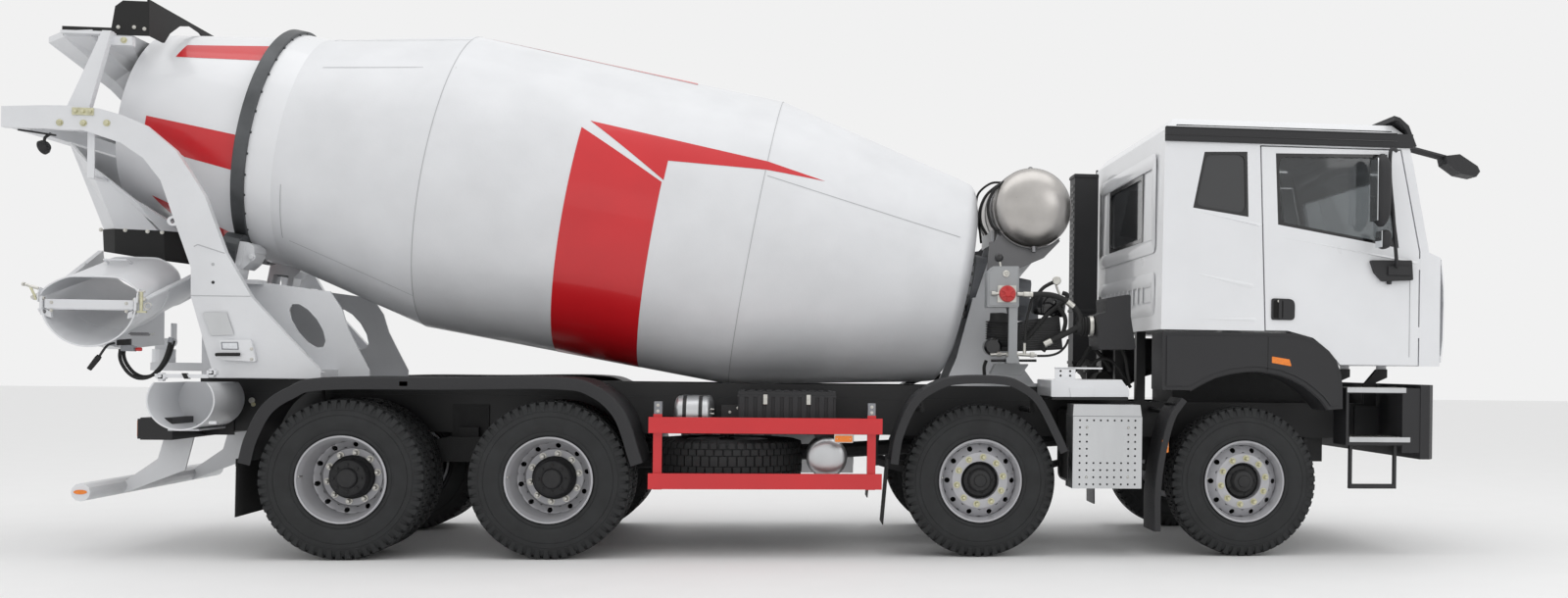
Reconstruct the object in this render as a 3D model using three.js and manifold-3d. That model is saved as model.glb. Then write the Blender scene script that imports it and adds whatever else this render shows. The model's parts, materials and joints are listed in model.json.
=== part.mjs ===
// Concrete mixer truck, 8x4: a cab-over chassis with two steered front axles and a twin-tyred
// rear bogie, a tilted mixing drum on a ring and two rollers, and a discharge chute that swings,
// lifts and unfolds. Millimetres. +X is forward, +Y is the truck's left, +Z is up, z = 0 is the
// ground. Stations along the truck are measured from the first axle, and the whole truck is then
// shifted so that the middle of its length is the origin.
import * as THREE from "three";
import { mergeVertices } from "three/addons/utils/BufferGeometryUtils.js";
import Module from "manifold-3d";

const wasm = await Module();
wasm.setup();

// ---------------------------------------------------------------- driving dimensions

const GAP = 0.3; // between faces that touch on the real truck
const MOVING = 8; // least clearance beside anything that moves

// wheels and axles
const TYRE_R = 542;
const TYRE_W = 290;
const RIM_R = 292; // outside of the rim's flange
const HUB_R = 118;
const FRONT_TRACK = 2050; // between the middles of the front tyres
const TWIN_TRACK = 1860; // between the middles of the twin tyres
const TWIN_SPACING = 345; // between the two tyres of a twin
const WHEELBASE = [1930, 2975, 1355]; // axle 1 to 2, 2 to 3 and 3 to 4
const STEER_PIN_Y = 850; // kingpin, from the middle of the truck
const AXLE_X = [0];
for (const distance of WHEELBASE) AXLE_X.push(AXLE_X.at(-1) - distance);

// chassis and mixer subframe
const RAIL_Y = 425; // outside of the chassis rails, from the middle
const RAIL_FLANGE = 80;
const RAIL_T = 10;
const RAIL_TOP = 1100;
const RAIL_H = 270;
const RAIL_FRONT = 1280;
const RAIL_REAR = AXLE_X[3] - 1160;
const SUB_H = 105; // height of the subframe's box rails
const SUB_W = 75;
const SUB_FRONT = -705;
const SUB_REAR = RAIL_REAR - 35;
const SUB_TOP = RAIL_TOP + GAP + SUB_H;

// overall
const WIDTH = 2500; // over the mudguards and the rear tyres
const MIRROR_Y = 1500; // outermost point of the mirrors
const HOPPER_FRAME_REAR = -8550;
const MIRROR_FRONT = 1800; // foremost point: the front view mirror
const CENTRE_X = (HOPPER_FRAME_REAR + MIRROR_FRONT) / 2;

// drum: stations run rearwards along its axis from the front edge of the shell
const DRUM_TILT = THREE.MathUtils.degToRad(10.3);
const DRUM_ORIGIN = [-2043, 2007]; // x and z of the axis at the front edge
const DRUM_FRONT_R = 788;
const DRUM_R = 1105;
const DRUM_FRONT_SEAM = 1532;
const DRUM_REAR_SEAM = 3806;
const RING_REAR = 5116;
const RING_W = 76;
const RING_R = 878;
const MOUTH_AT = 5986;
const MOUTH_R = 645;
const DRUM_T = 18; // thickness of the shell
const DISH_DEPTH = 120;
const ROLLER_R = 125;
const ROLLER_ANGLE = THREE.MathUtils.degToRad(35); // from the bottom of the ring

// cab
const CAB_HALF = 1225;
const CAB_T = 45; // doors, walls and roof
const CAB_REAR = -650;
const CAB_FRONT = 1440; // front wall under the windscreen
const CAB_SILL = 1395;
const CAB_REAR_SILL = 1636;
const CAB_TOP = 3170;
const CAB_EAVE = 3040;
const DOOR_REAR = [125, 76]; // at the sill and at the eave
const DOOR_FRONT = 1274;
const DOOR_GAP = 10;
const GLASS_T = 6;

// ---------------------------------------------------------------- ways of making solids

function solidOf(geometry) {
  const bare = geometry.clone();
  for (const name of Object.keys(bare.attributes)) {
    if (name !== "position") bare.deleteAttribute(name);
  }
  const merged = mergeVertices(bare, 1e-3);
  const vertProperties = Float32Array.from(merged.attributes.position.array);
  const made = new wasm.Manifold(
    new wasm.Mesh({ numProp: 3, vertProperties, triVerts: Uint32Array.from(merged.index.array) }),
  );
  return made;
}

function geometryOf(solid) {
  const mesh = solid.getMesh();
  const geometry = new THREE.BufferGeometry();
  geometry.setAttribute("position", new THREE.BufferAttribute(mesh.vertProperties, 3));
  geometry.setIndex(new THREE.BufferAttribute(mesh.triVerts, 1));
  const flat = geometry.toNonIndexed();
  flat.computeVertexNormals();
  return flat;
}

function box(x0, x1, y0, y1, z0, z1) {
  const shape = new THREE.BoxGeometry(x1 - x0, y1 - y0, z1 - z0);
  return solidOf(shape.translate((x0 + x1) / 2, (y0 + y1) / 2, (z0 + z1) / 2));
}

// A round bar from one point to another.
function rod(from, to, radius, sides = 12, endRadius = radius) {
  const a = new THREE.Vector3(...from);
  const b = new THREE.Vector3(...to);
  const shape = new THREE.CylinderGeometry(endRadius, radius, a.distanceTo(b), sides);
  shape.applyQuaternion(
    new THREE.Quaternion().setFromUnitVectors(new THREE.Vector3(0, 1, 0), b.clone().sub(a).normalize()),
  );
  return solidOf(shape.translate(...a.add(b).multiplyScalar(0.5).toArray()));
}

function outline(points) {
  return new THREE.Shape(points.map(([u, v]) => new THREE.Vector2(u, v)));
}

// An outline of [x, z] points, extruded from y0 to y1.
function plate(points, y0, y1, holes = []) {
  const shape = points instanceof THREE.Shape ? points : outline(points);
  shape.holes.push(...holes);
  const made = new THREE.ExtrudeGeometry(shape, { depth: y1 - y0, bevelEnabled: false, curveSegments: 6 });
  return solidOf(made.rotateX(Math.PI / 2).translate(0, y1, 0));
}

// An outline of [y, z] points, extruded from x0 to x1.
function crossPlate(points, x0, x1) {
  const made = new THREE.ExtrudeGeometry(outline(points), { depth: x1 - x0, bevelEnabled: false });
  return solidOf(made.rotateY(Math.PI / 2).rotateX(Math.PI / 2).translate(x0, 0, 0));
}

// An outline of [x, y] points, extruded from z0 to z1.
function slab(points, z0, z1) {
  const made = new THREE.ExtrudeGeometry(outline(points), { depth: z1 - z0, bevelEnabled: false });
  return solidOf(made.translate(0, 0, z0));
}

// A profile of [radius, height] points turned about Y, the lathe's own axis.
function turned(profile, sides) {
  const made = new THREE.LatheGeometry(profile.map(([r, h]) => new THREE.Vector2(r, h)), sides);
  const solid = solidOf(made);
  return solid.volume() < 0 ? solidOf(flipped(made)) : solid;
}

function flipped(geometry) {
  const plain = geometry.index ? geometry.toNonIndexed() : geometry.clone();
  const at = plain.attributes.position;
  for (let i = 0; i < at.count; i += 3) {
    const second = new THREE.Vector3().fromBufferAttribute(at, i + 1);
    const third = new THREE.Vector3().fromBufferAttribute(at, i + 2);
    at.setXYZ(i + 1, third.x, third.y, third.z);
    at.setXYZ(i + 2, second.x, second.y, second.z);
  }
  return plain;
}

// A skin through closed rings of equally many points; the last ring joins the first unless capped.
function skin(rings, capped = true) {
  const n = rings[0].length;
  const points = rings.flat();
  const triangles = [];
  const spans = capped ? rings.length - 1 : rings.length;
  for (let i = 0; i < spans; i++) {
    const next = ((i + 1) % rings.length) * n;
    for (let j = 0; j < n; j++) {
      const k = (j + 1) % n;
      triangles.push(i * n + j, i * n + k, next + k, i * n + j, next + k, next + j);
    }
  }
  if (capped) {
    const last = (rings.length - 1) * n;
    for (let j = 1; j < n - 1; j++) {
      triangles.push(0, j + 1, j, last, last + j, last + j + 1);
    }
  }
  const made = new THREE.BufferGeometry();
  made.setAttribute("position", new THREE.Float32BufferAttribute(points.flat(), 3));
  made.setIndex(triangles);
  const solid = solidOf(made);
  return solid.volume() < 0 ? solidOf(flipped(made)) : solid;
}

function join(...solids) {
  return solids.flat().reduce((all, next) => all.add(next));
}

function cut(solid, ...tools) {
  return tools.flat().reduce((left, tool) => left.subtract(tool), solid);
}

function moved(solid, x, y, z) {
  return solidOf(geometryOf(solid).translate(x, y, z));
}

function mirrored(solid) {
  return solidOf(flipped(geometryOf(solid).scale(1, -1, 1)));
}

function bothSides(solid) {
  return [solid, mirrored(solid)];
}

// ---------------------------------------------------------------- materials and the scene graph

function material(color, roughness, metalness = 0, opacity = 1) {
  return new THREE.MeshStandardMaterial({ color, roughness, metalness, opacity, transparent: opacity < 1 });
}

const WHITE = material(0xe4e5e8, 0.35);
const BLACK = material(0x17181a, 0.6);
const PLASTIC = material(0x222326, 0.7);
const TYRE = material(0x1b1b1c, 0.9);
const STEEL = material(0x8b8d90, 0.45, 0.8);
const ALUMINIUM = material(0xb9bbbe, 0.4, 0.9);
const CAST = material(0x2b2c2e, 0.7, 0.3);
const RED = material(0xc8181e, 0.4);
const GLASS = material(0x5b6064, 0.08, 0, 0.5);

const truck = new THREE.Group();
truck.position.x = -CENTRE_X;

function node(name, solid, finish, parent = truck) {
  const mesh = new THREE.Mesh(geometryOf(solid), finish);
  mesh.name = name;
  parent.add(mesh);
  return mesh;
}

function groupAt(x, y, z, parent = truck) {
  const group = new THREE.Group();
  group.position.set(x, y, z);
  parent.add(group);
  return group;
}

// ---------------------------------------------------------------- wheels

const WHEEL_SIDES = 16;

// Half the section of one tyre on its rim, from y0 outwards: the dish faces +Y.
function tyreProfile(y0) {
  const half = TYRE_W / 2;
  return [
    [RIM_R, y0 - half * 0.75],
    [TYRE_R - 90, y0 - half],
    [TYRE_R, y0 - half * 0.75],
    [TYRE_R, y0 + half * 0.75],
    [TYRE_R - 90, y0 + half],
    [RIM_R, y0 + half * 0.75],
  ];
}

const STUB_R = 55;
const HUB_BORE = boreFor(STUB_R, WHEEL_SIDES); // the stub axle's socket in the hub

// The radius of a faceted bore whose flats stay GAP clear of a shaft that turns in it.
function boreFor(shaftRadius, sides) {
  return (shaftRadius + GAP) / Math.cos(Math.PI / sides);
}

function steeredWheel(name, side, parent) {
  const outer = [
    [0, 60], [0, 132], [HUB_R - 20, 132], [HUB_R, 62], [RIM_R - 62, 30], [RIM_R - 22, 70],
  ];
  const inner = [[RIM_R - 22, -95], [RIM_R - 50, 12], [HUB_BORE, 12], [HUB_BORE, 60]];
  const profile = [...outer, ...tyreProfile(0).reverse(), ...inner, [0, 60]];
  const solid = turned(profile, WHEEL_SIDES);
  const mesh = node(name, solid, TYRE, parent);
  mesh.rotation.z = side > 0 ? 0 : Math.PI;
  return mesh;
}

// Two tyres on one hub, with the outer dish set deep and the hub standing out of it.
function twinWheel(name, x, side) {
  const out = TWIN_SPACING / 2;
  const profile = [
    [HUB_BORE, 60], [0, 60], [0, out + 60], [HUB_R - 20, out + 60], [HUB_R, -5],
    [RIM_R - 50, -5], [RIM_R - 32, out + 80],
    ...tyreProfile(out).reverse(),
    ...tyreProfile(-out).reverse(),
    [RIM_R - 32, -out - 80], [RIM_R - 50, -25], [HUB_BORE, -25],
  ];
  const parent = groupAt(x, side * TWIN_TRACK / 2, TYRE_R);
  const mesh = node(name, turned([...profile, profile[0]], WHEEL_SIDES), TYRE, parent);
  mesh.rotation.z = side > 0 ? 0 : Math.PI;
  return mesh;
}

// The knuckle: a kingpin boss between the axle's fork and the stub that carries the hub.
const PIN_BOSS_H = 150;
const PIN_BOSS_R = 62;
const BRAKE_R = 165;

function knuckle(name, side, parent) {
  const wheelY = side * (FRONT_TRACK / 2 - STEER_PIN_Y);
  const boss = rod([0, 0, -PIN_BOSS_H / 2], [0, 0, PIN_BOSS_H / 2], PIN_BOSS_R, 12);
  const stub = rod([0, side * 20, 0], [0, wheelY + side * (60 - 2), 0], STUB_R, 12);
  const drum = rod([0, wheelY - side * 60, 0], [0, wheelY, 0], BRAKE_R, 16);
  const arm = box(-260, 0, side > 0 ? -30 : -10, side > 0 ? 10 : 30, 20, 55);
  return node(name, join(boss, stub, drum, arm), CAST, parent);
}

for (const [axle, x] of AXLE_X.slice(0, 2).entries()) {
  for (const [word, side] of [["right", -1], ["left", 1]]) {
    const pin = groupAt(x, side * STEER_PIN_Y, TYRE_R);
    knuckle(`knuckle_${axle + 1}_${word}`, side, pin);
    const hub = groupAt(0, side * (FRONT_TRACK / 2 - STEER_PIN_Y), 0, pin);
    steeredWheel(`wheel_${axle + 1}_${word}`, side, hub);
  }
}
for (const [axle, x] of AXLE_X.slice(2).entries()) {
  twinWheel(`wheel_${axle + 3}_right`, x, -1);
  twinWheel(`wheel_${axle + 3}_left`, x, 1);
}

// ---------------------------------------------------------------- chassis, axles and driveline

function channel(side) {
  const web = box(RAIL_REAR, RAIL_FRONT, RAIL_Y - RAIL_T, RAIL_Y, RAIL_TOP - RAIL_H, RAIL_TOP);
  const top = box(RAIL_REAR, RAIL_FRONT, RAIL_Y - RAIL_FLANGE, RAIL_Y, RAIL_TOP - RAIL_T, RAIL_TOP);
  const foot = box(
    RAIL_REAR, RAIL_FRONT, RAIL_Y - RAIL_FLANGE, RAIL_Y, RAIL_TOP - RAIL_H, RAIL_TOP - RAIL_H + RAIL_T,
  );
  const rail = join(web, top, foot);
  return side > 0 ? rail : mirrored(rail);
}

const RAIL_FOOT = RAIL_TOP - RAIL_H;
const CROSS_X = [
  RAIL_FRONT - 100, -1150, AXLE_X[1] - 420, AXLE_X[2] + 855, AXLE_X[2] + 330, AXLE_X[3] + 340, RAIL_REAR + 50,
];
const TUBE_R = 21; // tubes that carry the mudguards through the rails
const FRONT_GUARD_TUBES = [AXLE_X[0] - TYRE_R + 17];
const SECOND_GUARD_TUBES = [AXLE_X[1] - 400, AXLE_X[1] + 400];
const REAR_GUARD_TUBES = [AXLE_X[3] - 300, AXLE_X[2] + 300];
const GUARD_TUBE_Z = RAIL_TOP - 60;

const crossMembers = CROSS_X.map((x) =>
  box(x - 45, x + 45, -RAIL_Y + RAIL_T / 2, RAIL_Y - RAIL_T / 2, RAIL_FOOT + 30, RAIL_TOP - 95),
);
const tubeHoles = [...FRONT_GUARD_TUBES, ...SECOND_GUARD_TUBES, ...REAR_GUARD_TUBES].map((x) =>
  rod([x, -RAIL_Y - 50, GUARD_TUBE_Z], [x, RAIL_Y + 50, GUARD_TUBE_Z], TUBE_R + GAP, 10),
);
const TAIL_FOOT = 790;
const tailBeam = box(RAIL_REAR - 205, RAIL_REAR - GAP, -1000, 1000, TAIL_FOOT, 940);
const tailPlates = bothSides(
  box(RAIL_REAR - 100, RAIL_REAR + 200, RAIL_Y - 4, RAIL_Y + 14, 800, RAIL_TOP - 60),
);
const SPARE_AT = [-3730, -620, 670];
const spareHanger = [
  box(SPARE_AT[0] - 50, SPARE_AT[0] + 50, SPARE_AT[1] - 60, -RAIL_Y + 3, RAIL_FOOT + 5, RAIL_FOOT + 30),
  rod([...SPARE_AT.slice(0, 2), SPARE_AT[2] + 8 + GAP], [...SPARE_AT.slice(0, 2), RAIL_FOOT + 10], 22, 10),
];
const BUMPER_TOP = 1258;
const CAB_PIVOT = [1330, 1330]; // close under the cab's front edge, which so clears the bumper
const CAB_PIN_R = 18;
const pivotBracket = [
  [1180, RAIL_TOP - 5], [RAIL_FRONT, RAIL_TOP - 5], [RAIL_FRONT, BUMPER_TOP + MOVING],
  [CAB_PIVOT[0] + 40, CAB_PIVOT[1] - 25], [CAB_PIVOT[0] + 40, CAB_PIVOT[1] + 40],
  [CAB_PIVOT[0] - 40, CAB_PIVOT[1] + 40], [1180, 1240],
];
const cabMounts = bothSides(
  join(
    plate(pivotBracket, 370, 385),
    plate(pivotBracket, 409, 424),
    rod([CAB_PIVOT[0], 375, CAB_PIVOT[1]], [CAB_PIVOT[0], 420, CAB_PIVOT[1]], CAB_PIN_R, 12),
    box(-640, -570, 350, 420, RAIL_TOP - 5, CAB_REAR_SILL - GAP),
  ),
);
const frameParts = [cabMounts, channel(1), channel(-1), crossMembers, tailPlates, tailBeam, spareHanger];
node("chassis_frame", cut(join(...frameParts.flat()), tubeHoles), BLACK);

// A dropped axle beam with a fork at each end around the knuckle's boss, and its two springs.
const BEAM_Z = TYRE_R - 60;
const SPRING_Y = 410;
const SPRING_W = 80;

function leafSpring(x, half, z) {
  const leaves = [
    [x - half, z + 150], [x - half * 0.55, z + 60], [x - 90, z], [x + 90, z], [x + half * 0.55, z + 60],
    [x + half, z + 150], [x + half, z + 195], [x + half * 0.5, z + 105], [x - half * 0.5, z + 105],
    [x - half, z + 195],
  ];
  return bothSides(plate(leaves, SPRING_Y - SPRING_W / 2, SPRING_Y + SPRING_W / 2));
}

const DROP = 130;

function frontAxle(name, x) {
  const top = TYRE_R - PIN_BOSS_H / 2 - GAP;
  const beamOutline = [
    [-STEER_PIN_Y - 60, top], [-STEER_PIN_Y - 60, top - 55], [-STEER_PIN_Y + 160, top - 55 - DROP * 0.3],
    [-SPRING_Y - 70, BEAM_Z - DROP - 40], [SPRING_Y + 70, BEAM_Z - DROP - 40],
    [STEER_PIN_Y - 160, top - 55 - DROP * 0.3], [STEER_PIN_Y + 60, top - 55], [STEER_PIN_Y + 60, top],
    [STEER_PIN_Y - 80, top], [SPRING_Y + 60, BEAM_Z - DROP + 50], [-SPRING_Y - 60, BEAM_Z - DROP + 50],
    [-STEER_PIN_Y + 80, top],
  ];
  const beam = crossPlate(beamOutline, x - 45, x + 45);
  const seat = BEAM_Z - DROP + 49;
  const seats = bothSides(box(x - 80, x + 80, SPRING_Y - 45, SPRING_Y + 45, seat, seat + 62));
  const springs = leafSpring(x, 720, seat + 60);
  const hangers = [x - 720, x + 690].flatMap((at) =>
    bothSides(box(at, at + 30, SPRING_Y - 40, SPRING_Y + 40, seat + 200, RAIL_FOOT - GAP)),
  );
  return node(name, join(beam, seats, springs, hangers), CAST);
}

frontAxle("front_axle_1", AXLE_X[0]);
frontAxle("front_axle_2", AXLE_X[1]);

// Two banjo axles under one pair of springs that pivot on a trunnion between them.
const HOUSING_R = 85;
const BANJO_R = 235;
const TRUNNION_X = (AXLE_X[2] + AXLE_X[3]) / 2;
const BOGIE_SPRING_Y = 510;
const HUB_FACE_Y = TWIN_TRACK / 2 - 25 - MOVING;

function bogieAxle(x) {
  const housing = rod([x, -HUB_FACE_Y, TYRE_R], [x, HUB_FACE_Y, TYRE_R], HOUSING_R, 12);
  const spindles = bothSides(rod([x, HUB_FACE_Y - 20, TYRE_R], [x, TWIN_TRACK / 2 + 50, TYRE_R], STUB_R, 12));
  const brakes = bothSides(rod([x, HUB_FACE_Y - 190, TYRE_R], [x, HUB_FACE_Y, TYRE_R], BRAKE_R, 16));
  const banjo = rod([x - 170, 0, TYRE_R], [x + 210, 0, TYRE_R], BANJO_R, 16, 130);
  return [housing, spindles, brakes, banjo].flat();
}

const bogieSpring = [
  [AXLE_X[3] - 90, TYRE_R + 80], [AXLE_X[2] + 90, TYRE_R + 80], [AXLE_X[2] + 90, TYRE_R + 130],
  [TRUNNION_X + 120, TYRE_R + 260], [TRUNNION_X - 120, TYRE_R + 260], [AXLE_X[3] - 90, TYRE_R + 130],
];
const trunnion = [
  box(TRUNNION_X - 130, TRUNNION_X + 130, RAIL_Y + GAP, RAIL_Y + 18, RAIL_FOOT - 160, RAIL_TOP - 70),
  box(TRUNNION_X - 70, TRUNNION_X + 70, RAIL_Y + 10, BOGIE_SPRING_Y, TYRE_R + 150, RAIL_FOOT + 40),
];
node(
  "rear_bogie",
  join(
    bogieAxle(AXLE_X[2]),
    bogieAxle(AXLE_X[3]),
    bothSides(plate(bogieSpring, BOGIE_SPRING_Y - 45, BOGIE_SPRING_Y + 45)),
    bothSides(join(trunnion)),
  ),
  CAST,
);

// Engine with its gearbox, and the shafts to the bogie; the last joint stops short of the axle.
const ENGINE_X = [-330, 880];
const SHAFT_Z = 800;
const engine = join(
  box(ENGINE_X[0], ENGINE_X[1], -330, 330, 640, 1340),
  box(ENGINE_X[0] - 720, ENGINE_X[0] + 5, -220, 220, 640, 1010),
  rod([ENGINE_X[0] - 700, 0, SHAFT_Z], [AXLE_X[2] + 420, 0, 600], 60, 10),
  rod([AXLE_X[2] + 440, 0, 600], [AXLE_X[2] + 210 + GAP, 0, 600], 75, 10),
);
node("engine_driveline", engine, CAST);

// ---------------------------------------------------------------- mixer body on the chassis

// A point on the drum's axis, s behind its front edge, and lift above the axis, across it.
function drumPoint(s, lift = 0) {
  return [
    DRUM_ORIGIN[0] - s * Math.cos(DRUM_TILT) + lift * Math.sin(DRUM_TILT),
    DRUM_ORIGIN[1] + s * Math.sin(DRUM_TILT) + lift * Math.cos(DRUM_TILT),
  ];
}

function axisPoint(s) {
  const [x, z] = drumPoint(s);
  return [x, 0, z];
}

const DRIVE_R = 255;
const DRIVE_REAR = -DISH_DEPTH - 29; // the drum's flange starts here on its axis
const DRIVE_FRONT = -620;
const SHELF_Z = SUB_TOP + 40;
const PEDESTAL_TOP = 1880;

const subRail = box(SUB_REAR, SUB_FRONT, RAIL_Y - SUB_W, RAIL_Y, RAIL_TOP + GAP, SUB_TOP);
const subCross = [SUB_FRONT - 500, SUB_FRONT - 1000, -4800, -5900, SUB_REAR + 60].map((x) =>
  box(x - 45, x + 45, -RAIL_Y + 5, RAIL_Y - 5, RAIL_TOP + GAP, RAIL_TOP + 70),
);
node("mixer_subframe", join(bothSides(subRail), subCross), WHITE);

// The front pedestal: two gussets, a leaning plate parallel to the drum's end, and a saddle.
const pedestalSide = [
  [-2110, SUB_TOP + GAP], [-1400, SUB_TOP + GAP], [-1560, 1420], [-1660, PEDESTAL_TOP], [-1900, PEDESTAL_TOP],
  [-2020, 1420],
];
const saddle = cut(
  join(
    bothSides(plate(pedestalSide, 300, 325)),
    box(-1780, -1755, -310, 310, SUB_TOP + GAP, PEDESTAL_TOP - 5),
    box(-2110, -1400, -RAIL_Y, -290, SUB_TOP + GAP, SUB_TOP + 25),
    box(-2110, -1400, 290, RAIL_Y, SUB_TOP + GAP, SUB_TOP + 25),
    box(-1900, -1660, -320, 320, PEDESTAL_TOP - 20, PEDESTAL_TOP),
  ),
  rod(axisPoint(200), axisPoint(-900), DRIVE_R + GAP, 20),
);

const drive = join(
  rod(axisPoint(DRIVE_REAR - GAP), axisPoint(-430), DRIVE_R, 20),
  rod(axisPoint(-420), axisPoint(DRIVE_FRONT), 150, 14),
  box(-1560, -1330, 60, 230, 1720, 1900),
);
node("drum_drive", drive, STEEL);

const TANK_AT = [-1476, 2560];
const TANK_R = 300;
const TANK_HALF = 560;
const tankProfile = [
  [0, -TANK_HALF - 85], [TANK_R * 0.55, -TANK_HALF - 65], [TANK_R * 0.92, -TANK_HALF - 15],
  [TANK_R, -TANK_HALF + 40], [TANK_R, TANK_HALF - 40],
  [TANK_R * 0.92, TANK_HALF + 15], [TANK_R * 0.55, TANK_HALF + 65], [0, TANK_HALF + 85],
];
const tankMesh = node("water_tank", turned(tankProfile, 20), ALUMINIUM);
tankMesh.position.set(TANK_AT[0], 0, TANK_AT[1]);
const cradleSide = [
  [-1880, PEDESTAL_TOP - 5], [-1680, PEDESTAL_TOP - 5], [-1300, 2330], [-1230, 2500], [-1560, 2500],
  [-1700, 2420],
];
const cradle = cut(
  join(
    bothSides(plate(cradleSide, 290, 310)),
    box(-1760, -1740, -300, 300, 2290, 2400),
    bothSides(box(-1870, -1690, 270, 310, PEDESTAL_TOP - 5, PEDESTAL_TOP + 14)),
  ),
  rod([TANK_AT[0], -700, TANK_AT[1]], [TANK_AT[0], 700, TANK_AT[1]], TANK_R + 1, 20),
);
node("front_pedestal", join(saddle, cradle), WHITE);

// The chute hangs on an upright pin behind the rear support, and points to the truck's right.
const CHUTE_T = 12;
const CHUTE_SIDES = 8;
const SWIVEL_X = -7870; // the upright pin, and the middle of the stowed chute
const SWIVEL_R = 50;
const BRACKET_Z = [1250, 1310];
const PIN_TOP = 1390;
const PIVOT_Z = 1465; // the cross pin that the chute tips on
const PIVOT_R = 20;
const LUG_IN = 60;
const LUG_T = 16;
const CHUTE_END = { y: -1215, z: 1712, r: 285 };
const CHUTE_HEAD = { y: 60, z: 2010, r: 440 };
const CHUTE_SLOPE = (CHUTE_HEAD.z - CHUTE_END.z) / (CHUTE_HEAD.y - CHUTE_END.y);

// Rear support: a box of two side plates with an oval hole each, and the rollers' shelf.
const HOUSING_Y = 560;
const ARM_Y = 950; // outside of the hopper frame's arms
const ARM_T = 60;

function ovalHole(x, z, halfLong, halfWide, lean) {
  const hole = new THREE.Path();
  hole.absellipse(x, z, halfLong, halfWide, 0, Math.PI * 2, false, lean);
  return hole;
}

const housingSide = [
  [-7400, SUB_TOP + GAP], [-6264, SUB_TOP + GAP], [-6264, 1271], [-6346, 1431], [-6414, 1569], [-6456, 1707],
  [-6537, 1831], [-7120, 1903], [-7400, 1903],
];
const sideOval = ovalHole(-6690, 1585, 185, 78, -0.95);
const housing = join(
  bothSides(plate(housingSide, HOUSING_Y - 20, HOUSING_Y, [sideOval])),
  box(-7400, -7120, -HOUSING_Y, HOUSING_Y, 1880, 1903),
  box(-7400, -7380, -HOUSING_Y, HOUSING_Y, SUB_TOP + GAP, 1903),
  bothSides(box(-7400, -6264, RAIL_Y - 60, HOUSING_Y, SUB_TOP + GAP, SUB_TOP + 16)),
);

// Where a roller's middle sits: below the ring, at the roller's angle on each side.
const RING_MIDDLE = RING_REAR - RING_W / 2;
const ROLLER_PITCH = RING_R + ROLLER_R + 0.6;
const ROLLER_Y = ROLLER_PITCH * Math.sin(ROLLER_ANGLE);
const ROLLER_DROP = -ROLLER_PITCH * Math.cos(ROLLER_ANGLE);
const ROLLER_W = 110;
const PIN_R = 30;
const rollerEnds = [RING_MIDDLE - ROLLER_W / 2 - GAP, RING_MIDDLE + ROLLER_W / 2 + GAP];

// A fork on each side: two cheeks beside the roller, its pin, and a foot down to the shelf.
function rollerFork() {
  const pinFrom = drumPoint(rollerEnds[0] - 60, ROLLER_DROP);
  const pinTo = drumPoint(rollerEnds[1] + 60, ROLLER_DROP);
  const pin = rod([pinFrom[0], ROLLER_Y, pinFrom[1]], [pinTo[0], ROLLER_Y, pinTo[1]], PIN_R, 10);
  const cheeks = [rollerEnds[0] - 40, rollerEnds[1]].map((s) => {
    const top = ROLLER_DROP + 55;
    const low = ROLLER_DROP - 235;
    const corners = [drumPoint(s, top), drumPoint(s + 40, top), drumPoint(s + 40, low), drumPoint(s, low)];
    return plate(corners, ROLLER_Y - 90, ROLLER_Y + 90);
  });
  return [pin, ...cheeks];
}
const shelf = box(-7400, -6990, HOUSING_Y - 60, ROLLER_Y + 90, 1870, 1900);
const chuteBracket = [
  box(SWIVEL_X - 70, -7390, -60, 60, BRACKET_Z[0], BRACKET_Z[1]),
  rod([SWIVEL_X, 0, BRACKET_Z[1] - 5], [SWIVEL_X, 0, PIN_TOP], SWIVEL_R, 16),
];
node("rear_support", join(housing, bothSides(join(...rollerFork(), shelf)), chuteBracket), WHITE);

const HOPPER_TOP = 3595;
const HOPPER_HALF = 780;
const SPOUT_HALF = 300;

// The hopper frame: an arched arm each side, standing on the subframe's end, and its cross tubes.
const armOuter = [
  [HOPPER_FRAME_REAR, 3018], [-8281, 3033], [-8102, 3036], [-7931, 3022], [-7797, 2986], [-7636, 2919],
  [-7442, 2756], [-7344, 2605], [-7249, 2448], [-7111, 2068], [-6938, 1765], [-6700, 1500], [-6470, 1255],
];
const armInner = [
  [-7187, 1255], [-7332, 1764], [-7334, 1961], [-7427, 2227], [-7536, 2549], [-7650, 2698], [-7795, 2796],
  [-8033, 2872], [HOPPER_FRAME_REAR, 2880],
];
const arm = plate([...armOuter, ...armInner], ARM_Y - ARM_T, ARM_Y);
const armFoot = box(-7180, -6480, HOUSING_Y + GAP, ARM_Y, 1215, 1275);
const armTies = [
  box(-7180, -7150, HOUSING_Y + GAP, ARM_Y - ARM_T + 5, 1215, 1860),
  box(-7130, -7100, HOUSING_Y + GAP, ARM_Y - ARM_T + 5, 1500, 1800),
];
const topCross = [
  box(HOPPER_FRAME_REAR, HOPPER_FRAME_REAR + 90, -ARM_Y + 5, ARM_Y - 5, 2890, 3010),
  box(-8160, -8040, -ARM_Y + 5, ARM_Y - 5, 2890, 2990),
];
const hopperPosts = bothSides(
  join(
    plate([[-8165, 3030], [-8021, 3030], [-7886, 3562], [-7942, 3562]], ARM_Y - 110, ARM_Y - ARM_T + 5),
    box(-8230, -7900, HOPPER_HALF + GAP, ARM_Y - 100, 3545, 3565),
  ),
);
node("hopper_frame", join(bothSides(join(arm, armFoot, armTies)), topCross, hopperPosts), WHITE);

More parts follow.
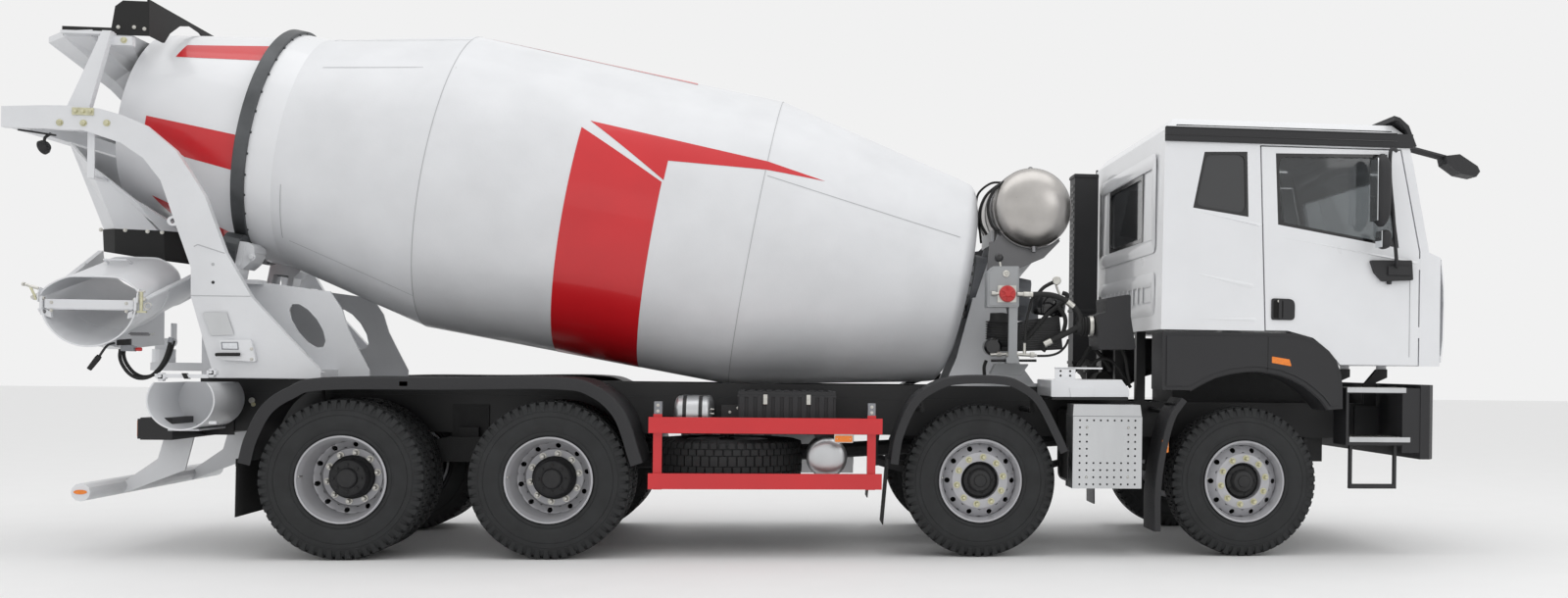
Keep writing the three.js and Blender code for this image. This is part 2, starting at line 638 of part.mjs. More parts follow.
// A ring of eight corners in a plan rectangle with its corners cut, at one height.
function planRing(x0, x1, halfY, z0, z1 = z0, corner = 90) {
  const at = (x, y) => [x, y, z0 + ((z1 - z0) * (x - x0)) / (x1 - x0)];
  return [
    at(x0, -halfY + corner), at(x0 + corner, -halfY), at(x1 - corner, -halfY), at(x1, -halfY + corner),
    at(x1, halfY - corner), at(x1 - corner, halfY), at(x0 + corner, halfY), at(x0, halfY - corner),
  ];
}

// A funnel's wall: a solid through its outer rings, less one through inner rings that run past its ends.
function hollow(outerRings, innerRings) {
  return cut(skin(outerRings), skin(innerRings));
}

// The charging hopper: open at the top, with a spout that reaches into the drum's mouth.
const hopperShell = hollow(
  [
    planRing(-8417, -7880, HOPPER_HALF, 3560, HOPPER_TOP + 5, 180),
    planRing(-8417, -7880, HOPPER_HALF, 3520, HOPPER_TOP - 45, 180),
    planRing(-8110, -7900, 430, 3250, 3420, 60),
    planRing(-7960, -7640, SPOUT_HALF, 3060, 3240, 60),
  ],
  [
    planRing(-8385, -7905, HOPPER_HALF - 22, 3590, HOPPER_TOP + 35, 170),
    planRing(-8385, -7905, HOPPER_HALF - 22, 3522, HOPPER_TOP - 47, 170),
    planRing(-8085, -7925, 405, 3262, 3400, 50),
    planRing(-7925, -7660, SPOUT_HALF - 26, 3040, 3210, 50),
  ],
);

// The rubber guard stands on the hopper's front edge and runs back a little along both sides.
const GUARD_TOP = 3810;
const guardSide = [
  [-8252, 3560], [-8252, 3606], [-7935, 3606], [-7912, 3755], [-7862, GUARD_TOP - 14],
  [-7690, GUARD_TOP - 14], [-7690, 3560],
];
const guard = join(
  bothSides(plate(guardSide, HOPPER_HALF - 20, HOPPER_HALF - 5)),
  box(-7705, -7690, -HOPPER_HALF + 6, HOPPER_HALF - 6, 3565, GUARD_TOP),
);
// The guard stays clear of the turning neck.
const NECK_CLEAR = 95;
const neckSpace = (radius, frontRadius = radius) =>
  rod(axisPoint(MOUTH_AT + 15), axisPoint(MOUTH_AT - 700), radius, 24, frontRadius);
node("charging_hopper", join(hopperShell, cut(guard, neckSpace(MOUTH_R + NECK_CLEAR))), WHITE);

// The discharge funnel under the mouth, with its rubber skirt.
const FUNNEL_FOOT = 2235;
const SKIRT_LAP = 22;
const NECK_FRONT_R = 780; // the neck's radius where the funnel's side plates end
const funnelHangers = bothSides(join(
  box(-8030, -7985, 600, ARM_Y - ARM_T - GAP, 2560, 2580),
  box(-8030, -7985, ARM_Y - ARM_T - 12, ARM_Y - ARM_T - GAP, 2560, 2950),
));
const funnelWall = cut(
  join(
    skin([planRing(-8340, -7560, 700, 2860, 2245, 240), planRing(-8165, -7590, 420, FUNNEL_FOOT, 2223, 130)]),
    funnelHangers,
  ),
  skin([
    planRing(-8324, -7574, 686, 2885, 2270, 234),
    planRing(-8142, -7611, 398, FUNNEL_FOOT - 20, 2203, 120),
  ]),
  neckSpace(MOUTH_R + 2 * MOVING, NECK_FRONT_R + 2 * MOVING),
);
const skirtWall = hollow(
  [
    planRing(-8178, -7577, 434, FUNNEL_FOOT + SKIRT_LAP, 2223 + SKIRT_LAP, 136),
    planRing(-8175, -7580, 415, 2100, 2030, 130),
  ],
  [
    planRing(-8161, -7594, 418, FUNNEL_FOOT + SKIRT_LAP + 25, 2248 + SKIRT_LAP, 130),
    planRing(-8159, -7596, 398, 2080, 2010, 122),
  ],
);
node("discharge_funnel", join(funnelWall, skirtWall), WHITE);

// ---------------------------------------------------------------- drum and rollers

const drumGroup = groupAt(DRUM_ORIGIN[0], 0, DRUM_ORIGIN[1]);
drumGroup.rotation.y = DRUM_TILT;

const ringFoot = (s) => DRUM_R - ((s - DRUM_REAR_SEAM) * (DRUM_R - 790)) / (RING_REAR - DRUM_REAR_SEAM);
const neckR = (s) => 812 + ((s - RING_REAR) * (MOUTH_R - 812)) / (MOUTH_AT - RING_REAR);
const flankFrom = 4850;
const shellOutside = [
  [0, -DISH_DEPTH - 29], [200, -DISH_DEPTH - 29], [200, -DISH_DEPTH], [520, -DISH_DEPTH + 25], [720, -50],
  [DRUM_FRONT_R, 0], [DRUM_R, DRUM_FRONT_SEAM], [DRUM_R, DRUM_REAR_SEAM], [ringFoot(flankFrom), flankFrom],
  [RING_R - 10, RING_REAR - RING_W], [RING_R, RING_REAR - RING_W], [RING_R, RING_REAR],
  [neckR(RING_REAR), RING_REAR],
  [MOUTH_R, MOUTH_AT],
];
const shellInside = [
  [MOUTH_R - DRUM_T, MOUTH_AT], [neckR(RING_REAR) - DRUM_T, RING_REAR], [DRUM_R - DRUM_T, DRUM_REAR_SEAM],
  [DRUM_R - DRUM_T, DRUM_FRONT_SEAM], [DRUM_FRONT_R - DRUM_T, DRUM_T], [510, -DISH_DEPTH + 45],
  [0, -DISH_DEPTH + 25],
];
const DRUM_SIDES = 32;
const drum = new THREE.Mesh(geometryOf(turned([...shellOutside, ...shellInside], DRUM_SIDES)), WHITE);
drum.name = "drum";
drum.rotation.z = Math.PI / 2; // the lathe's height runs rearwards
drumGroup.add(drum);

for (const [word, side] of [["right", -1], ["left", 1]]) {
  const rollerAt = drumPoint(RING_MIDDLE, ROLLER_DROP);
  const place = groupAt(rollerAt[0], side * ROLLER_Y, rollerAt[1]);
  place.rotation.y = DRUM_TILT;
  const bore = boreFor(PIN_R, 16);
  const half = ROLLER_W / 2;
  const rim = [[bore, -half], [ROLLER_R, -half], [ROLLER_R, half], [bore, half]];
  const roller = node(`roller_${word}`, turned([...rim, rim[0]], 16), STEEL, place);
  roller.rotation.z = Math.PI / 2;
}

// ---------------------------------------------------------------- discharge chute

// Half a ring about (SWIVEL_X, z) at one place y along the chute, open upwards or downwards.
function halfRing({ y, z, r }, thickness, openUp) {
  const ring = [];
  for (let i = 0; i <= CHUTE_SIDES; i++) {
    const angle = (Math.PI * i) / CHUTE_SIDES;
    const drop = (r - thickness) * Math.sin(angle) * (openUp ? -1 : 1);
    ring.push([SWIVEL_X + (r - thickness) * Math.cos(angle), y, z + drop]);
  }
  return ring;
}

// The place 5 mm past the end a, in line with the end b.
function past(a, b) {
  const share = 5 / Math.abs(a.y - b.y);
  return { y: a.y + (a.y - b.y) * share, z: a.z + (a.z - b.z) * share, r: a.r + (a.r - b.r) * share };
}

function trough(from, to, openUp) {
  const lift = openUp ? 20 : -20; // the inside runs past the rim
  const inside = (end) => {
    const ring = halfRing(end, CHUTE_T, openUp);
    const [first, last] = [ring[0], ring.at(-1)];
    return [...ring, [last[0], last[1], last[2] + lift], [first[0], first[1], first[2] + lift]];
  };
  const outer = skin([halfRing(from, 0, openUp), halfRing(to, 0, openUp)]);
  return cut(outer, skin([inside(past(from, to)), inside(past(to, from))]));
}

function floorZ(y) {
  const high = CHUTE_HEAD.z - CHUTE_HEAD.r;
  const low = CHUTE_END.z - CHUTE_END.r;
  return high + ((y - CHUTE_HEAD.y) / (CHUTE_END.y - CHUTE_HEAD.y)) * (low - high);
}

const HINGE_Y = CHUTE_END.y + 12;
const HINGE_Z = CHUTE_END.z + 14;
const HINGE_R = 12;
const EXTENSION_R = CHUTE_END.r + 20;
const hingeBlocks = [-1, 1].flatMap((side) => {
  const wall = SWIVEL_X + side * (CHUTE_END.r - CHUTE_T / 2);
  const ends = [wall - 7, wall + 7];
  return [
    box(ends[0], ends[1], HINGE_Y - 10, HINGE_Y + 70, CHUTE_END.z - 30, HINGE_Z + HINGE_R),
    rod([wall, HINGE_Y, HINGE_Z], [SWIVEL_X + side * (EXTENSION_R + 12), HINGE_Y, HINGE_Z], HINGE_R, 12),
  ];
});
const lugBore = rod([SWIVEL_X - 200, 0, PIVOT_Z], [SWIVEL_X + 200, 0, PIVOT_Z], boreFor(PIVOT_R, 12), 12);
const chuteLugs = [-1, 1].map((side) => {
  const inner = SWIVEL_X + side * LUG_IN;
  const outer = inner + side * LUG_T;
  const span = [Math.min(inner, outer), Math.max(inner, outer)];
  return cut(box(span[0], span[1], -36, 36, PIVOT_Z - 32, floorZ(0) + 22), lugBore);
});
node("main_chute", join(trough(CHUTE_HEAD, CHUTE_END, true), chuteLugs, hingeBlocks), WHITE);

// The extension lies upside down on the chute's edges and swings over its hinge pins.
const EXTENSION_LENGTH = 715;
const extensionFrom = { y: HINGE_Y, z: HINGE_Z, r: EXTENSION_R };
const extensionTo = {
  y: HINGE_Y + EXTENSION_LENGTH,
  z: HINGE_Z + EXTENSION_LENGTH * CHUTE_SLOPE + 6,
  r: EXTENSION_R - 35,
};
const ears = [-1, 1].map((side) => {
  const faces = [side * (EXTENSION_R - CHUTE_T + 2), side * (EXTENSION_R + 3)].sort((a, b) => a - b);
  return box(
    SWIVEL_X + faces[0], SWIVEL_X + faces[1], HINGE_Y - 26, HINGE_Y + 40, HINGE_Z - 26, HINGE_Z + 60,
  );
});
const earBore = rod(
  [SWIVEL_X - 400, HINGE_Y, HINGE_Z], [SWIVEL_X + 400, HINGE_Y, HINGE_Z], boreFor(HINGE_R, 12), 12,
);
node("extension_chute", cut(join(trough(extensionFrom, extensionTo, false), ears), earBore), WHITE);

// The swivel arm: a boss on the upright pin, its cap, and the cross pin between the chute's lugs.
const armBore = boreFor(SWIVEL_R, 16);
const bossProfile = [
  [armBore, BRACKET_Z[1] + GAP], [armBore + 28, BRACKET_Z[1] + GAP], [armBore + 28, PIN_TOP + 18],
  [0, PIN_TOP + 18], [0, PIN_TOP + GAP], [armBore, PIN_TOP + GAP], [armBore, BRACKET_Z[1] + GAP],
];
const uprightBoss = geometryOf(turned(bossProfile, 16)).rotateX(Math.PI / 2);
const swivelBoss = solidOf(uprightBoss.translate(SWIVEL_X, 0, 0));
const yoke = box(SWIVEL_X - LUG_IN + MOVING, SWIVEL_X + LUG_IN - MOVING, -30, 30, PIN_TOP + 12, PIVOT_Z + 24);
const crossPin = rod(
  [SWIVEL_X - LUG_IN - LUG_T - 10, 0, PIVOT_Z], [SWIVEL_X + LUG_IN + LUG_T + 10, 0, PIVOT_Z], PIVOT_R, 12,
);
node("chute_arm", join(swivelBoss, yoke, crossPin), STEEL);

// ---------------------------------------------------------------- along the chassis

// A bent strip: the band between an outer run of [x, z] points and the same run moved inwards.
function band(points, thickness) {
  const inner = points.map(([x, z], i) => {
    const before = points[Math.max(i - 1, 0)];
    const after = points[Math.min(i + 1, points.length - 1)];
    const [dx, dz] = [after[0] - before[0], after[1] - before[1]];
    const scale = thickness / Math.hypot(dx, dz);
    return [x + dz * scale, z - dx * scale];
  });
  return [...points, ...inner.reverse()];
}

const GUARD_OUT = WIDTH / 2;
const GUARD_T = 14;

// Height of a run of points at x.
function heightAt(run, x) {
  const i = run.findIndex((point) => point[0] > x);
  const [a, b] = [run[i - 1], run[i]];
  return a[1] + ((x - a[0]) / (b[0] - a[0])) * (b[1] - a[1]);
}

function mudguardSet(name, run, width, tubesAt) {
  const inside = GUARD_OUT - width;
  const struts = tubesAt.map((x) =>
    box(x - 8, x + 8, inside - 10, inside + 8, GUARD_TUBE_Z - 20, heightAt(run, x) - GUARD_T * 0.7),
  );
  const side = join(plate(band(run, GUARD_T), inside, GUARD_OUT), struts);
  const tubes = tubesAt.map((x) =>
    rod([x, -(GUARD_OUT - width), GUARD_TUBE_Z], [x, GUARD_OUT - width, GUARD_TUBE_Z], TUBE_R, 10),
  );
  return node(name, join(bothSides(side), tubes), BLACK);
}

// Points round an axle's tyres, each given by how far it lies past the tyre's edge and above its top.
function around(axle, side, points) {
  return points.map(([past, above]) => [AXLE_X[axle] + side * (TYRE_R + past), 2 * TYRE_R + above]);
}

const frontRun = around(0, -1, [[148, -894], [148, -604], [113, -324], [48, -74], [-42, 66]]);
const secondRun = [
  ...around(1, -1, [[158, -844], [111, -417], [72, -199], [-44, 40], [-226, 167], [-394, 206]]),
  ...around(1, 1, [[-405, 206], [-262, 160], [-117, 48], [15, -191], [74, -319]]),
];
const rearRun = [
  ...around(3, -1, [[133, -794], [119, -428], [73, -249], [-29, -49], [-189, 73], [-418, 145]]),
  ...around(2, 1, [[-498, 166], [-238, 114], [-35, -69], [90, -417]]),
];
mudguardSet("front_mudguards", frontRun, 330, FRONT_GUARD_TUBES);
mudguardSet("second_mudguards", secondRun, 330, SECOND_GUARD_TUBES);
mudguardSet("rear_mudguards", rearRun, 640, REAR_GUARD_TUBES);

// Side guard on the right: two rails on posts, carried by arms from the chassis rail.
const SPARE_CHUTE_X = RAIL_REAR + 95;
const GUARD_X = [rearRun.at(-1)[0] + 33, secondRun[0][0] - 6];
const guardArms = [GUARD_X[0] + 60, GUARD_X[1] - 74].map((x) =>
  join(
    box(x - 30, x + 30, -GUARD_OUT + 30, -GUARD_OUT + 60, 480, 1000),
    box(x - 30, x + 30, -GUARD_OUT + 50, -RAIL_Y - GAP, 900, 960),
  ),
);
const guardRails = [[870, 980], [485, 593]].map((z) => box(...GUARD_X, -GUARD_OUT, -GUARD_OUT + 32, ...z));
node("side_guard", join(guardArms, guardRails), RED);

// Boxes and tanks, each with brackets to the rail's web.
const onRail = -RAIL_Y - GAP;
const EXHAUST_X = [secondRun.at(-1)[0] + 29, frontRun[0][0] - 90];
const exhaustMiddle = (EXHAUST_X[0] + EXHAUST_X[1]) / 2;
node("exhaust_box", join(
  box(...EXHAUST_X, -1240, -620, 494, 1095),
  box(exhaustMiddle - 70, exhaustMiddle + 70, -640, onRail, 880, 960),
), ALUMINIUM);
node("fuel_tank", join(
  box(rearRun.at(-1)[0] + 123, secondRun[0][0] - 130, 620, 1230, 470, 1060),
  box(-3900, -3820, RAIL_Y + GAP, 640, 880, 960),
  box(-3080, -3000, RAIL_Y + GAP, 640, 880, 960),
), ALUMINIUM);
node("air_tanks", join(
  rod([-3960, -1090, 995], [-3960, -520, 995], 130, 16),
  rod([-3016, -1130, 698], [-3016, -600, 698], 145, 16),
  box(-3100, -2930, -620, onRail, 835, 905),
  box(-4040, -3880, -560, onRail, 880, 1000),
  box(-3060, -2980, -620, -560, 700, 870),
  box(-3900, -3000, -560, -530, 865, 890),
), ALUMINIUM);
node("battery_box", join(
  box(-3640, -2960, -1130, -640, 925, 1160),
  box(-3500, -3100, -660, onRail, 960, 1060),
), PLASTIC);
const spareProfile = [[0, -8], [RIM_R - 60, -8], ...tyreProfile(0), [RIM_R - 60, 8], [0, 8]];
const spare = turned(spareProfile, WHEEL_SIDES);
node("spare_wheel", solidOf(geometryOf(spare).rotateX(Math.PI / 2).translate(...SPARE_AT)), TYRE);
node("air_intake", join(
  box(-904, -700, 820, 1040, 1320, 3000),
  box(-860, -760, RAIL_Y + GAP, 830, 1320, 1370),
  box(-860, -760, RAIL_Y + GAP, RAIL_Y + 30, 1000, 1370),
), BLACK);
const UNDERRIDE_X = RAIL_REAR - 500;
const underrideTube = rod([UNDERRIDE_X, -1180, 450], [UNDERRIDE_X, 1180, 450], 60, 12);
const underrideArms = bothSides(plate([
  [UNDERRIDE_X - 40, 420], [UNDERRIDE_X + 40, 400], [RAIL_REAR - 60, 560], [RAIL_REAR - 5, TAIL_FOOT - GAP],
  [RAIL_REAR - 200, TAIL_FOOT - GAP], [RAIL_REAR - 240, 640],
], 600, 620));
node("underride_guard", join(underrideTube, underrideArms), WHITE);
const spareEnd = { z: 1212, r: 205 };
const spareTrough = trough({ y: -1150, ...spareEnd }, { y: -580, ...spareEnd }, true);
const spareChute = moved(spareTrough, SPARE_CHUTE_X - SWIVEL_X, 0, 0);
node("spare_chute", join(
  spareChute,
  box(-7360, -7310, -600, -RAIL_Y - 14 - GAP, 990, 1016),
  box(-7360, -7310, -1100, -590, 990, 1016),
), WHITE);

// ---------------------------------------------------------------- cab

// A closed outline moved outwards by a distance (inwards if negative); corners run anticlockwise.
function offset(points, distance) {
  const n = points.length;
  const normal = (a, b) => {
    const length = Math.hypot(b[0] - a[0], b[1] - a[1]);
    return [(b[1] - a[1]) / length, (a[0] - b[0]) / length];
  };
  return points.map((point, i) => {
    const before = normal(points[(i + n - 1) % n], point);
    const after = normal(point, points[(i + 1) % n]);
    const share = distance / (1 + before[0] * after[0] + before[1] * after[1]);
    return [point[0] + (before[0] + after[0]) * share, point[1] + (before[1] + after[1]) * share];
  });
}

const ARCH_LINE = [[300, CAB_REAR_SILL], [471, 1590], [586, 1500], [668, CAB_SILL]];
const cabSide = [
  [CAB_REAR, CAB_REAR_SILL], ...ARCH_LINE, [CAB_FRONT, CAB_SILL], [CAB_FRONT, 2190], [1352, 2227],
  [1222, 2870], [1170, 3080], [1090, CAB_TOP - 10], [-560, CAB_TOP - 10], [-635, 3070],
];
const doorSide = [
  [DOOR_REAR[0], 1640], [287, 1640], [480, 1590], [596, 1500], [684, CAB_SILL + 5],
  [DOOR_FRONT, CAB_SILL + 5], [DOOR_FRONT, 2230], [1122, 2965], [DOOR_REAR[1], 2965],
];
const doorWindow = [[206, 2405], [1120, 2255], [1022, 2935], [183, 2920]];
const quarterWindow = [[-425, 2512], [-14, 2455], [-28, 2925], [-345, 2915]];
const REAR_WINDOW = { half: 600, z: [2310, 2820] };
const inY = CAB_HALF - CAB_T;

const roofChamfers = bothSides(crossPlate(
  [[CAB_HALF + 5, CAB_EAVE], [CAB_HALF + 5, CAB_TOP + 20], [CAB_HALF - 110, CAB_TOP + 20]],
  CAB_REAR - 50, CAB_FRONT,
));
const SCREEN_Z = [2300, 2820];
const SCREEN_HALF = CAB_HALF - 110;
const screenHole = box(1150, 1500, -SCREEN_HALF, SCREEN_HALF, ...SCREEN_Z);
const cabLugs = bothSides(cut(
  plate([[CAB_PIVOT[0] - 38, CAB_PIVOT[1] - 30], [CAB_PIVOT[0] + 38, CAB_PIVOT[1] - 30],
    [CAB_PIVOT[0] + 38, CAB_SILL + 5], [CAB_PIVOT[0] - 38, CAB_SILL + 5]], 388, 406),
  rod([CAB_PIVOT[0], 300, CAB_PIVOT[1]], [CAB_PIVOT[0], 500, CAB_PIVOT[1]], boreFor(CAB_PIN_R, 12), 12),
));
const cabShell = cut(
  join(plate(cabSide, -CAB_HALF, CAB_HALF), cabLugs),
  plate(offset(cabSide, -CAB_T), -inY, inY),
  roofChamfers,
  bothSides(plate(offset(doorSide, DOOR_GAP), inY - 20, CAB_HALF + 20)),
  bothSides(plate(quarterWindow, inY - 20, CAB_HALF + 20)),
  screenHole,
  box(CAB_REAR - 20, CAB_REAR + CAB_T + 40, -REAR_WINDOW.half, REAR_WINDOW.half, ...REAR_WINDOW.z),
);
node("cab_shell", cabShell, WHITE);

// Panes sit inside their openings.
const PANE_GAP = GAP;
const pane = (points, y) => plate(offset(points, -PANE_GAP), y, y + GLASS_T);
node("quarter_window_right", pane(quarterWindow, -CAB_HALF + 15), GLASS);
node("quarter_window_left", pane(quarterWindow, CAB_HALF - 15 - GLASS_T), GLASS);
node("rear_window", box(CAB_REAR + 20, CAB_REAR + 20 + GLASS_T, -REAR_WINDOW.half + PANE_GAP,
  REAR_WINDOW.half - PANE_GAP, REAR_WINDOW.z[0] + PANE_GAP, REAR_WINDOW.z[1] - PANE_GAP), GLASS);
const screenLine = (z) => 1352 - ((z - 2227) * (1352 - 1222)) / (2870 - 2227);
node("windscreen", plate([
  [screenLine(SCREEN_Z[0]) - 25, SCREEN_Z[0] + GAP], [screenLine(SCREEN_Z[0]) - 19, SCREEN_Z[0] + GAP],
  [screenLine(SCREEN_Z[1]) - 19, SCREEN_Z[1] - GAP], [screenLine(SCREEN_Z[1]) - 25, SCREEN_Z[1] - GAP],
], -SCREEN_HALF + GAP, SCREEN_HALF - GAP), GLASS);

function door(word, side) {
  const lower = side > 0 ? inY : -CAB_HALF;
  const window = plate(doorWindow, lower - 5, lower + CAB_T + 5);
  const hingeY = side > 0 ? [CAB_HALF - 20, CAB_HALF] : [-CAB_HALF, -CAB_HALF + 20];
  const hinges = [1600, 2100].map((z) =>
    box(DOOR_FRONT - 5, DOOR_FRONT + DOOR_GAP - GAP, ...hingeY, z, z + 80),
  );
  const leaf = cut(plate(doorSide, lower, lower + CAB_T), window);
  node(`door_${word}`, join(leaf, hinges), WHITE);
  node(`door_window_${word}`, pane(doorWindow, lower + CAB_T / 2), GLASS);
  // Mirror: a foot on the door, a pole, and a tall head over a small one.
  const skinY = CAB_HALF + GAP;
  const mirror = join(
    box(880, 1220, skinY, skinY + 45, 2005, 2170),
    rod([1040, skinY + 30, 2090], [1000, skinY + 150, 2250], 14, 8),
    rod([1000, skinY + 150, 2240], [985, skinY + 150, 2960], 14, 8),
    box(790, 1010, skinY + 95, MIRROR_Y, 2390, 2910),
    box(850, 1010, skinY + 95, MIRROR_Y - 30, 2230, 2370),
  );
  node(`mirror_${word}`, side > 0 ? mirror : mirrored(mirror), PLASTIC);
}
door("right", -1);
door("left", 1);

// Fenders: a skin over the wheel with a lip that follows the arch.
const fenderSide = [
  [-640, 1200], [-435, 1200], [-253, 1296], [-37, 1341], [130, 1341], [328, 1288], [476, 1198], [599, 1069],
  [706, 1078], [676, 1380], [588, 1483], [474, 1570], [300, 1620], [-640, 1620],
];
const archRun = [[-640, 1200], [-435, 1200], [-253, 1296], [-37, 1341], [130, 1341], [328, 1288], [476, 1198],
  [599, 1069]];
const fender = join(
  plate(fenderSide, CAB_HALF - 15, CAB_HALF + 15),
  plate(band(archRun, -16), CAB_HALF - 330, CAB_HALF),
  box(-640, -610, CAB_HALF - 330, CAB_HALF, 1205, 1620),
  box(-100, -60, CAB_HALF - 330, CAB_HALF, 1345, 1636 - GAP),
);
node("cab_fender_left", fender, PLASTIC);
node("cab_fender_right", mirrored(fender), PLASTIC);

// Drip rails, the sun visor across the front and the front view mirror on its arm.
const visorSide = [
  [1243, 3000], [1181, 3149], [1113, 3205], [1068, 3218], [1072, 3186], [1105, 3180], [1162, 3115],
  [1210, 2998],
];
const dripRails = bothSides(box(-638, 1212, CAB_HALF + GAP, CAB_HALF + 16, 2985, 3085));
const visor = plate(visorSide.toReversed(), -CAB_HALF - 10, CAB_HALF + 10);
const frontMirrorHead = [
  [1545, 2900], [1650, 2830], [1770, 2810], [MIRROR_FRONT, 2850], [1780, 2890], [1640, 2975], [1530, 2960],
];
const frontMirror = join(
  rod([1225, -1080, 3010], [1580, -1000, 2950], 26, 8),
  plate(frontMirrorHead, -1090, -930),
);
node("sun_visor", join(dripRails, visor, frontMirror), PLASTIC);

// Front panel under the windscreen, hinged along its top edge.
const PANEL_TOP = [1462, 2180];
const panelSide = [
  [1450, 1424], [1496, 1424], [1563, 1571], [1583, 1865], [1565, 2011], [1495, 2142], PANEL_TOP, [1450, 2150],
  [1515, 1990], [1533, 1865], [1514, 1590], [1470, 1470], [1450, 1470],
];
const panelCorners = bothSides(
  slab([[1440, 1240], [1440, 1228], [1600, 960], [1700, 960], [1700, 1240]], 1300, 2300),
);
const frontPanel = cut(plate(panelSide, -CAB_HALF + 5, CAB_HALF - 5), panelCorners);
const panelHinges = bothSides(box(CAB_FRONT + GAP, 1470, 700, 760, 2130, 2165));
node("front_panel", join(frontPanel, panelHinges), WHITE);

// Seats, engine cover and dashboard, joined through the cover.
const seat = bothSides(join(
  box(-60, 440, 330, 850, 1690, 2060),
  box(-180, -50, 330, 850, 1750, 2700),
));
node("cab_interior", join(
  seat,
  box(-60, 420, -400, 400, CAB_REAR_SILL + CAB_T + GAP, 1760),
  box(400, 1200, -200, 200, 1690, 1830),
  box(1130, 1370, -1140, 1140, 1680, 2140),
  rod([1140, 590, 2080], [1040, 590, 2200], 25, 8),
  rod([1040, 590, 2195], [1010, 590, 2230], 215, 14),
), PLASTIC);

// ---------------------------------------------------------------- bumper and steps

const bumperPlan = [
  [1300, -CAB_HALF], [1370, -CAB_HALF], [1425, -1150], [1442, -900], [1442, 900], [1425, 1150],
  [1370, CAB_HALF], [1300, CAB_HALF],
];
const stepSide = join(
  box(737, 1320, 960, CAB_HALF - 5, 1192, 1232),
  box(752, 1320, 960, CAB_HALF - 5, 814, 871),
  box(1164, 1320, 960, CAB_HALF - 5, 760, 1232),
  box(737, 757, 960, CAB_HALF - 5, 814, 1232),
  box(774, 794, CAB_HALF - 60, CAB_HALF - 25, 500, 830),
  box(1111, 1131, CAB_HALF - 60, CAB_HALF - 25, 500, 830),
  box(774, 1131, CAB_HALF - 60, CAB_HALF - 25, 497, 530),
);
const bumperStay = box(1100, 1320, RAIL_Y + GAP, RAIL_Y + 20, 860, 1080);
node("bumper", join(slab(bumperPlan, 713, BUMPER_TOP), bothSides(stepSide), bothSides(bumperStay)), PLASTIC);

export default truck;
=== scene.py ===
"""The looks of a concrete mixer truck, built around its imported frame.

Metres. +X is forward, +Y is the truck's left, +Z is up, and the wheels stand on z = 0.
"""
import json
import math

import bmesh
import bpy
from mathutils import Matrix, Vector


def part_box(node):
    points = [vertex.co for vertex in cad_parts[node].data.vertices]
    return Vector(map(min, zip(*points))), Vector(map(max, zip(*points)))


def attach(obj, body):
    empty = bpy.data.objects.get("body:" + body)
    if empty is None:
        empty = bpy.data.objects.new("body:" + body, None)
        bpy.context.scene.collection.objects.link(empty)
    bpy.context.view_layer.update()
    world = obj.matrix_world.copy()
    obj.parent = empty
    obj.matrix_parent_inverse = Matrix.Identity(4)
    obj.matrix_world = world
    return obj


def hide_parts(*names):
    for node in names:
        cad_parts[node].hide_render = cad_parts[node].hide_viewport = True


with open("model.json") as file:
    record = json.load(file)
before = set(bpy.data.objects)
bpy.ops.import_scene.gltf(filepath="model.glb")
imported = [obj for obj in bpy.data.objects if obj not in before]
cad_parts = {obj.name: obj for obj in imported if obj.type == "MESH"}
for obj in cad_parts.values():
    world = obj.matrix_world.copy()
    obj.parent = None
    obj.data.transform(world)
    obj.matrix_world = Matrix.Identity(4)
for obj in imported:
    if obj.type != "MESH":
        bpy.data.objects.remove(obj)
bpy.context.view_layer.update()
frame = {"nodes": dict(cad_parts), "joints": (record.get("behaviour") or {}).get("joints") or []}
JOINTS = {joint["name"]: joint for joint in frame["joints"]}


def joint_at(name):
    return Vector(JOINTS[name]["pos_m"])


# ---------------------------------------------------------------- materials

